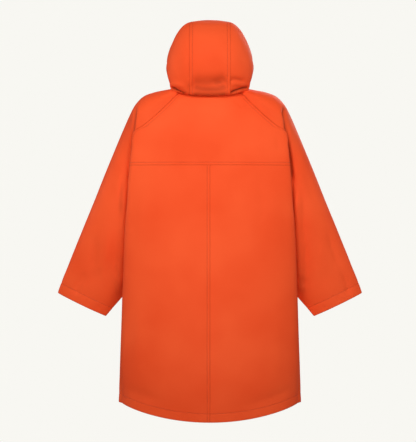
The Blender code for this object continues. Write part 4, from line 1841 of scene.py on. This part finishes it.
    def _row_points(self, place: float) -> np.ndarray:
        """Find one row of the left sleeve, drawn to the neck oval near the neck.

        Args:
            place: The fractional row.

        Returns:
            The row's points.
        """
        shares = np.linspace(0, 1, self.columns + 1)
        points = self._whole_ring(place, shares)
        behind = shares <= 0.5
        points[:, 1] -= self._drawn_in(points) * behind
        if place < 1:
            angle = NECK.back_raglan + (NECK.front_raglan - NECK.back_raglan) * shares
            plain = self._whole_ring(0.0, shares)
            past_back, _ = raglan_edge(BACK, 0.0, 1)
            past_front, _ = raglan_edge(FRONT, 0.0, -1)
            past = np.where(behind[:, None], past_back, past_front)
            plain -= past * (SEAM_HALF * np.abs(2 * shares - 1) ** self.seam_fade)[:, None]
            points += (NECK.points(angle) - plain) * (1 - smooth_step(place))
        return points


@dataclass
class Hood(ClothPart):
    """The hood: a middle strip between two seams, and two sides, open at the face.

    An arch is the centre of the strip, its seam, the widest point of the side, where the arch
    ends round the neck oval, and how steeply the cloth climbs from there.
    """

    pitch: float = 4.6
    rows_each: int = 50
    columns: int = 200
    arches: tuple[tuple[float, ...], ...] = (
        (92, -8, 84, -4.5, 111.5, 50, 20, 94, 25),
        (111, 24, 102, 26, 123.5, 50, 40, 99, 32),
        (119, 70, 110, 70, 130, 42, 64, 106, 40),
        (111, 130, 103, 126, 133.5, 25, 84, 114, 48),
        (79, 187, 73, 181, 133.5, 5, 90, 124, 56),
        (25, 225, 22, 219, 131, -20, 88, 136, 64),
        (-45, 230, -45, 224, 123, -55, 76, 150, 72),
        (-120, 208, -118, 202, 104, -100, 56, 168, 80),
    )
    seam_x: float = 61.3
    seam_half: float = 0.2
    upper_fullness: float = 0.5  # how far a side bulges above its widest point, and below it
    lower_fullness: float = 0.36
    lift_back: float = 2.5  # how far the hood's edge stands above the neck oval
    lift_front: float = 2.4
    lift_turn: float = 120.0  # the angle at which the one becomes the other
    lift_over: float = 40.0
    strip_slack: tuple[float, float] = (0.3, 45.0)
    side_slack: tuple[float, float] = (0.4, 50.0)
    side_slack_seed: float = 6.2
    face: EdgeWork = EdgeWork(EdgeKind.TURNED, stitch=22.0, lean=0.5, seed=5.9, pucker=0.3)
    strip_flat: tuple[float, float] = (0.14, 0.5)
    side_flat: tuple[float, float] = (0.27, 0.34)
    # the dent over the neck, the fold and band below it, all three darkened with painted shade, and slack
    # up to the crown
    strip_creases: tuple[Crease, ...] = (
        *Crease.on(
            Facing.BACK,
            (((60, 36), (30, 30), (0, 30), (-30, 33), (-58, 44)), 8.0, 36, 0.15, 0.25),
            (((60, 20), (30, 10), (0, 8), (-28, 10), (-60, 22)), 3.0, 22, 0.15, 0.4),
            (((4, 26), (-26, 28), (-54, 36)), 4.0, 20, 0.4, 0.42),
            (((60, -4), (20, -7), (-20, -7), (-60, -2)), 0.0, 18, 0.15, 0.45),
            (((20, 150), (26, 110), (22, 80)), 1.2, 20),
            (((-30, 140), (-36, 100), (-34, 66)), 1.4, 20),
        ),
        *Crease.on(Facing.TOP, (((-40, 20), (0, 30), (44, 16)), 1.5, 22)),
    )
    # a ridge by the seam, the line of painted shadow under the hood's edge, a ridge above it, and slack;
    # then the side
    left_creases: tuple[Crease, ...] = (
        *Crease.on(
            Facing.BACK,
            (((66, 48), (62, 28), (63, 8)), -3.0, 12),
            (((134, 26), (110, 17), (101, 9), (92, 4), (83, 0), (66, -5)), 7.0, 7, 0.22, 1.0),
            (((124, 26), (98, 26), (70, 18)), -5.0, 14, 0.3),
            (((84, 130), (96, 90), (94, 56)), 1.2, 22),
        ),
        *Crease.on(
            Facing.LEFT,
            (((74, 14), (30, 12), (-34, 20)), -7.0, 22, 0.25),
            (((46, 120), (10, 90), (-40, 84)), 2.4, 26),
            (((30, 170), (-20, 150), (-70, 150)), 2.0, 24),
        ),
    )
    # a fold darkened with painted shade and the ridge below it, the line of painted shadow under the
    # hood's edge, and slack; then the side
    right_creases: tuple[Crease, ...] = (
        *Crease.on(
            Facing.BACK,
            (((-58, 34), (-74, 41), (-112, 35)), 5.0, 10, 0.25, 0.3),
            (((-60, 23), (-80, 28), (-112, 22)), -4.0, 10, 0.25),
            (((-134, 24), (-111, 18), (-93, 13), (-78, 7), (-66, 1), (-54, -6)), 7.0, 7, 0.22, 1.0),
            (((-88, 140), (-98, 100), (-94, 64)), 1.3, 22),
        ),
        *Crease.on(
            Facing.RIGHT,
            (((72, 14), (28, 12), (-30, 20)), -7.0, 22, 0.25),
            (((50, 110), (8, 96), (-36, 76)), 2.0, 26),
            (((20, 176), (-24, 160), (-76, 156)), 2.2, 22),
        ),
    )

    def build(self) -> list[bpy.types.Object]:
        """Make the strip and both sides.

        Returns:
            The pieces.
        """
        places = np.linspace(0, len(self.arches), len(self.arches) * self.rows_each + 1)
        arches = self._strip_arches(np.linspace(-1, 1, self.columns + 1))
        work = {
            Edge.START: EdgeWork(EdgeKind.STITCHED, stitch=9.0, seed=8.3),
            Edge.END: EdgeWork(EdgeKind.STITCHED, stitch=9.0, seed=9.4),
            Edge.BOTTOM: self.face,
        }
        dense = dense_rows(places, lambda place: through(arches, place))
        grid = ClothGrid.laid_out("hood_strip", dense, work, 1, self.pitch)
        self.dress(grid, self.strip_creases, self.strip_slack, 1.9)
        grid.turn_down(Edge.TOP)
        grid.turn_in(Edge.BOTTOM)
        pieces = [made_up(grid, self.wardrobe, ["hood_center"], self.strip_flat)]
        sides = self._side_arches(np.linspace(0, 1, self.columns + 1))
        side_work = {
            Edge.START: EdgeWork(seed=8.3),
            Edge.END: EdgeWork(seed=3.8),
            Edge.BOTTOM: self.face,
        }
        for name, mirrored in (("left", False), ("right", True)):
            dense = dense_rows(places, lambda place: through(sides, place), mirrored)
            handed = -1 if mirrored else 1
            grid = ClothGrid.laid_out(f"hood_side_{name}", dense, side_work, handed, self.pitch)
            creases = self.right_creases if mirrored else self.left_creases
            self.dress(grid, creases, self.side_slack, self.side_slack_seed + handed)
            grid.add_allowance(Edge.START)
            grid.turn_down(Edge.END)
            grid.turn_down(Edge.TOP)
            grid.turn_in(Edge.BOTTOM)
            node = f"hood_{name}"
            pieces.append(made_up(grid, self.wardrobe, [node], self.side_flat))
        return pieces

    def _lifted_neck(self, degrees: np.ndarray) -> np.ndarray:
        """Find where the hood's lower edge stands above the neck oval.

        Args:
            degrees: Angles round it from the centre back.

        Returns:
            A point for each angle.
        """
        points = NECK.points(degrees)
        share = smooth_step((np.asarray(degrees) - self.lift_turn) / self.lift_over)
        points[..., 2] += self.lift_back + (self.lift_front - self.lift_back) * share
        return points

    def _strip_arches(self, shares: np.ndarray) -> np.ndarray:
        """Find every arch of the strip.

        Args:
            shares: -1 at one seam and 1 at the other.

        Returns:
            The arches, from the neck to the face edge, with a point for each share.
        """
        x = shares * (self.seam_x - self.seam_half)
        low = self._lifted_neck(np.degrees(np.arcsin(np.abs(x) / NECK.half_width)))
        low[:, 0] = x
        arches = [low]
        for centre_y, centre_z, seam_y, seam_z, *_ in self.arches:
            y = centre_y + (seam_y - centre_y) * shares**2
            z = centre_z + (seam_z - centre_z) * shares**2
            arches.append(np.stack([x, y, z], axis=-1))
        return np.array(arches)

    def _side_arches(self, shares: np.ndarray) -> np.ndarray:
        """Find every arch of the left side.

        Args:
            shares: 0 at the strip's seam and 1 at the neck.

        Returns:
            The arches, from the neck to the face edge, with a point for each share.
        """
        seam_x = self.seam_x + self.seam_half
        start = math.degrees(math.asin(seam_x / NECK.half_width))
        arches = [self._lifted_neck(start + (90 - start) * shares)]
        for arch in self.arches:
            centre_y, centre_z, seam_y, seam_z, wide_x, wide_y, wide_z, end_angle, climb = arch
            seam = np.array([seam_x, seam_y, seam_z])
            wide = np.array([wide_x, wide_y, wide_z])
            end = self._lifted_neck(np.array([end_angle]))[0]
            slope = 2 * (seam - (0, centre_y, centre_z)) / self.seam_x
            corner = seam + slope * (wide_x - seam[0])
            corner[0] = wide_x
            near = seam + (corner - seam) * self.upper_fullness
            far = wide + (corner - wide) * self.upper_fullness
            upper = self._curved(seam, near, far, wide, np.clip(shares * 2, 0, 1))
            down = unit(np.array([0.0, wide_y - seam_y, wide_z - seam_z]))
            handle = self.lower_fullness * float(np.linalg.norm(end - wide))
            outward = unit(np.array([end[0], end[1], 0.0])) * math.cos(math.radians(climb))
            outward[2] = math.sin(math.radians(climb))
            near, far = wide + down * handle, end + outward * handle
            lower = self._curved(wide, near, far, end, np.clip(shares * 2 - 1, 0, 1))
            arches.append(np.where(shares[:, None] < 0.5, upper, lower))
        return np.array(arches)

    @staticmethod
    def _curved(
        start: np.ndarray, near: np.ndarray, far: np.ndarray, end: np.ndarray, share: np.ndarray
    ) -> np.ndarray:
        """Find a curve from start to end that leaves towards near and arrives from far.

        Args:
            start: Where it starts.
            near: The point that it leaves towards.
            far: The point that it arrives from.
            end: Where it ends.
            share: 0 at the start and 1 at the end.

        Returns:
            A point for each share.
        """
        share = share[:, None]
        rest = 1 - share
        curve = rest**3 * start + 3 * rest**2 * share * near
        return curve + 3 * rest * share**2 * far + share**3 * end


@dataclass
class PressStuds:
    """Seven press studs down the lap, each a low domed cap with a rolled rim."""

    count: int = 7
    top_z: float = -98.0
    pitch: float = 112.0
    stand_off: float = 1.4  # from the middle of the cloth to the seat
    steps: int = 32
    weld: float = 0.01  # points closer than this are joined
    # radius and height above the seat of the solid cap
    profile: tuple[tuple[float, float], ...] = (
        *((0.0, 2.7), (1.8, 2.66), (3.6, 2.5), (5.0, 2.2), (5.9, 1.85)),  # the dome
        *((6.25, 1.7), (6.6, 1.75), (7.0, 1.7), (7.35, 1.4), (7.5, 0.9)),  # the rolled rim
        *((7.4, 0.3), (7.1, -0.5), (6.0, -0.8), (0.0, -0.8)),  # the underside
    )

    def build(self, wardrobe: Wardrobe) -> list[bpy.types.Object]:
        """Make the studs.

        Args:
            wardrobe: The finishes.

        Returns:
            The pieces.
        """
        pieces = []
        for number in range(self.count):
            place = self._place_at(self.top_z - number * self.pitch)
            outward = -front_inward(place)
            seat = section(through(FRONT, place), 0.0) + outward * self.stand_off
            turn = Matrix.Rotation(math.atan2(-outward[1], outward[2]), 4, "X")
            whole = Matrix.Translation(Vector(seat) * MM) @ turn @ Matrix.Scale(MM, 4)
            mesh = self._cap(f"press_stud_{number + 1}", whole)
            mesh.materials.append(wardrobe.cap)
            piece = add_piece(mesh.name, mesh)
            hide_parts(f"stud_{number + 1}")
            pieces.append(piece)
        return pieces

    def _cap(self, name: str, whole: Matrix) -> bpy.types.Mesh:
        """Turn one cap.

        Args:
            name: The mesh's name.
            whole: Puts the cap in its place.

        Returns:
            The mesh.
        """
        form = bmesh.new()
        verts = [form.verts.new((radius, 0, height)) for radius, height in self.profile]
        edges = [form.edges.new(pair) for pair in zip(verts[:-1], verts[1:])]
        bmesh.ops.spin(
            form,
            geom=[*verts, *edges],
            cent=(0, 0, 0),
            axis=(0, 0, 1),
            angle=math.tau,
            steps=self.steps,
            use_merge=True,
        )
        bmesh.ops.remove_doubles(form, verts=form.verts, dist=self.weld)
        bmesh.ops.recalc_face_normals(form, faces=form.faces)
        bmesh.ops.transform(form, matrix=whole, verts=form.verts)
        mesh = bpy.data.meshes.new(name)
        form.to_mesh(mesh)
        form.free()
        mesh.shade_smooth()
        return mesh

    @staticmethod
    def _place_at(height: float) -> float:
        """Find where the centre front passes a height.

        Args:
            height: The height.

        Returns:
            The fractional row.
        """
        low, high = 0.0, float(HEM_ROW)
        for _ in range(40):
            middle = (low + high) / 2
            if through(FRONT, middle)[0] > height:
                low = middle
            else:
                high = middle
        return low


# ---------------------------------------------------------------- the studio


@dataclass(frozen=True)
class Softbox:
    """A soft light, in metres and watts."""

    name: str
    place: tuple[float, float, float]
    aim: tuple[float, float, float]
    size: float
    power: float
    spread: float = 180.0

    def build(self) -> None:
        """Hang the light."""
        lamp = bpy.data.lights.new(self.name, "AREA")
        lamp.shape = "SQUARE"
        lamp.size = self.size
        lamp.energy = self.power
        lamp.spread = math.radians(self.spread)
        holder = bpy.data.objects.new(self.name, lamp)
        way = Vector(self.aim) - Vector(self.place)
        turned = way.to_track_quat("-Z", "Y").to_matrix().to_4x4()
        holder.matrix_world = Matrix.Translation(self.place) @ turned
        bpy.context.scene.collection.objects.link(holder)


@dataclass
class Studio:
    """A level camera behind the coat, soft lights, a pale floor and a pale backdrop all round.

    Sizes and places are in metres, and the sensor and the lens in millimetres.
    """

    camera_place: tuple[float, float, float] = (0.0058, 4.5, -0.3844)
    sensor: float = 36.0
    lens: float = 127.14
    floor_z: float = -1.25
    floor_half: float = 17.0
    backdrop_radius: float = 18.0
    ambient: float = 0.225
    ambient_colour: tuple[float, ...] = (1.0, 0.99, 0.97, 1.0)
    lights: tuple[Softbox, ...] = (
        Softbox("key", (0.6, 3.0, 2.2), (0.0, 0.0, -0.25), 0.9, 3.4, 42.0),
        Softbox("fill_right", (-1.2, 3.4, 0.3), (-0.22, 0.0, -0.15), 1.4, 5.2, 55.0),
        Softbox("fill_left", (1.2, 3.4, 0.1), (0.22, 0.0, -0.15), 1.4, 4.6, 55.0),
        Softbox("front", (-1.2, -3.0, 1.3), (0.0, 0.0, -0.4), 2.0, 85.0),
        Softbox("side_left", (3.2, -1.0, 0.5), (0.0, 0.0, -0.3), 1.6, 22.0),
        Softbox("side_right", (-3.2, -1.0, 0.5), (0.0, 0.0, -0.3), 1.6, 16.0),
    )

    def build(self) -> None:
        """Set the studio up."""
        scene = bpy.context.scene
        scene.view_settings.view_transform = "Standard"
        self._camera(scene)
        for light in self.lights:
            light.build()
        world = bpy.data.worlds.new("studio_air")
        world.use_nodes = True
        shade = world.node_tree.nodes["Background"]
        shade.inputs["Color"].default_value = self.ambient_colour
        shade.inputs["Strength"].default_value = self.ambient
        scene.world = world
        paper = StudioPaper().material()
        floor = bmesh.new()
        bmesh.ops.create_grid(floor, x_segments=8, y_segments=8, size=self.floor_half)
        bmesh.ops.translate(floor, verts=floor.verts, vec=(0, 0, self.floor_z))
        self._stage("studio_floor", floor, paper)
        dome = bmesh.new()
        bmesh.ops.create_uvsphere(dome, u_segments=48, v_segments=24, radius=self.backdrop_radius)
        bmesh.ops.reverse_faces(dome, faces=dome.faces)
        self._stage("studio_backdrop", dome, paper)

    def _camera(self, scene: bpy.types.Scene) -> None:
        """Stand the camera behind the coat, level with its middle.

        Args:
            scene: The scene that it serves.
        """
        camera = bpy.data.cameras.new("camera")
        camera.sensor_fit = "HORIZONTAL"
        camera.sensor_width = self.sensor
        camera.lens = self.lens
        camera.clip_end = 100.0
        holder = bpy.data.objects.new("camera", camera)
        holder.location = self.camera_place
        holder.rotation_euler = (math.pi / 2, 0.0, math.pi)
        scene.collection.objects.link(holder)
        scene.camera = holder

    @staticmethod
    def _stage(name: str, form: bmesh.types.BMesh, paper: bpy.types.Material) -> None:
        """Put a piece of the studio up, which is seen but doesn't light the coat.

        Args:
            name: Its name.
            form: Its form.
            paper: Its finish.
        """
        mesh = bpy.data.meshes.new(name)
        form.to_mesh(mesh)
        form.free()
        mesh.materials.append(paper)
        piece = bpy.data.objects.new(name, mesh)
        bpy.context.scene.collection.objects.link(piece)
        piece.visible_diffuse = False
        piece.visible_glossy = False
        piece.visible_shadow = False


def main() -> None:
    """Dress the coat piece by piece, and log each piece's faces."""
    logging.basicConfig(level=logging.INFO, format="%(message)s", stream=sys.stdout)
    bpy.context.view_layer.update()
    Studio().build()
    wardrobe = Wardrobe()
    parts = (("back", BackBody), ("fronts", Fronts), ("sleeves", RaglanSleeves), ("hood", Hood))
    made: list[bpy.types.Object] = []
    stitching = [Topstitching(f"thread_{name}") for name, _ in parts]
    for (_, part), threads in zip(parts, stitching):
        made += part(wardrobe, threads).build()
    made += PressStuds().build(wardrobe)
    made += [threads.build(wardrobe) for threads in stitching]
    for piece in made:
        LOG.info("%s: %d faces", piece.name, len(piece.data.polygons))


if __name__ == "__main__":
    main()
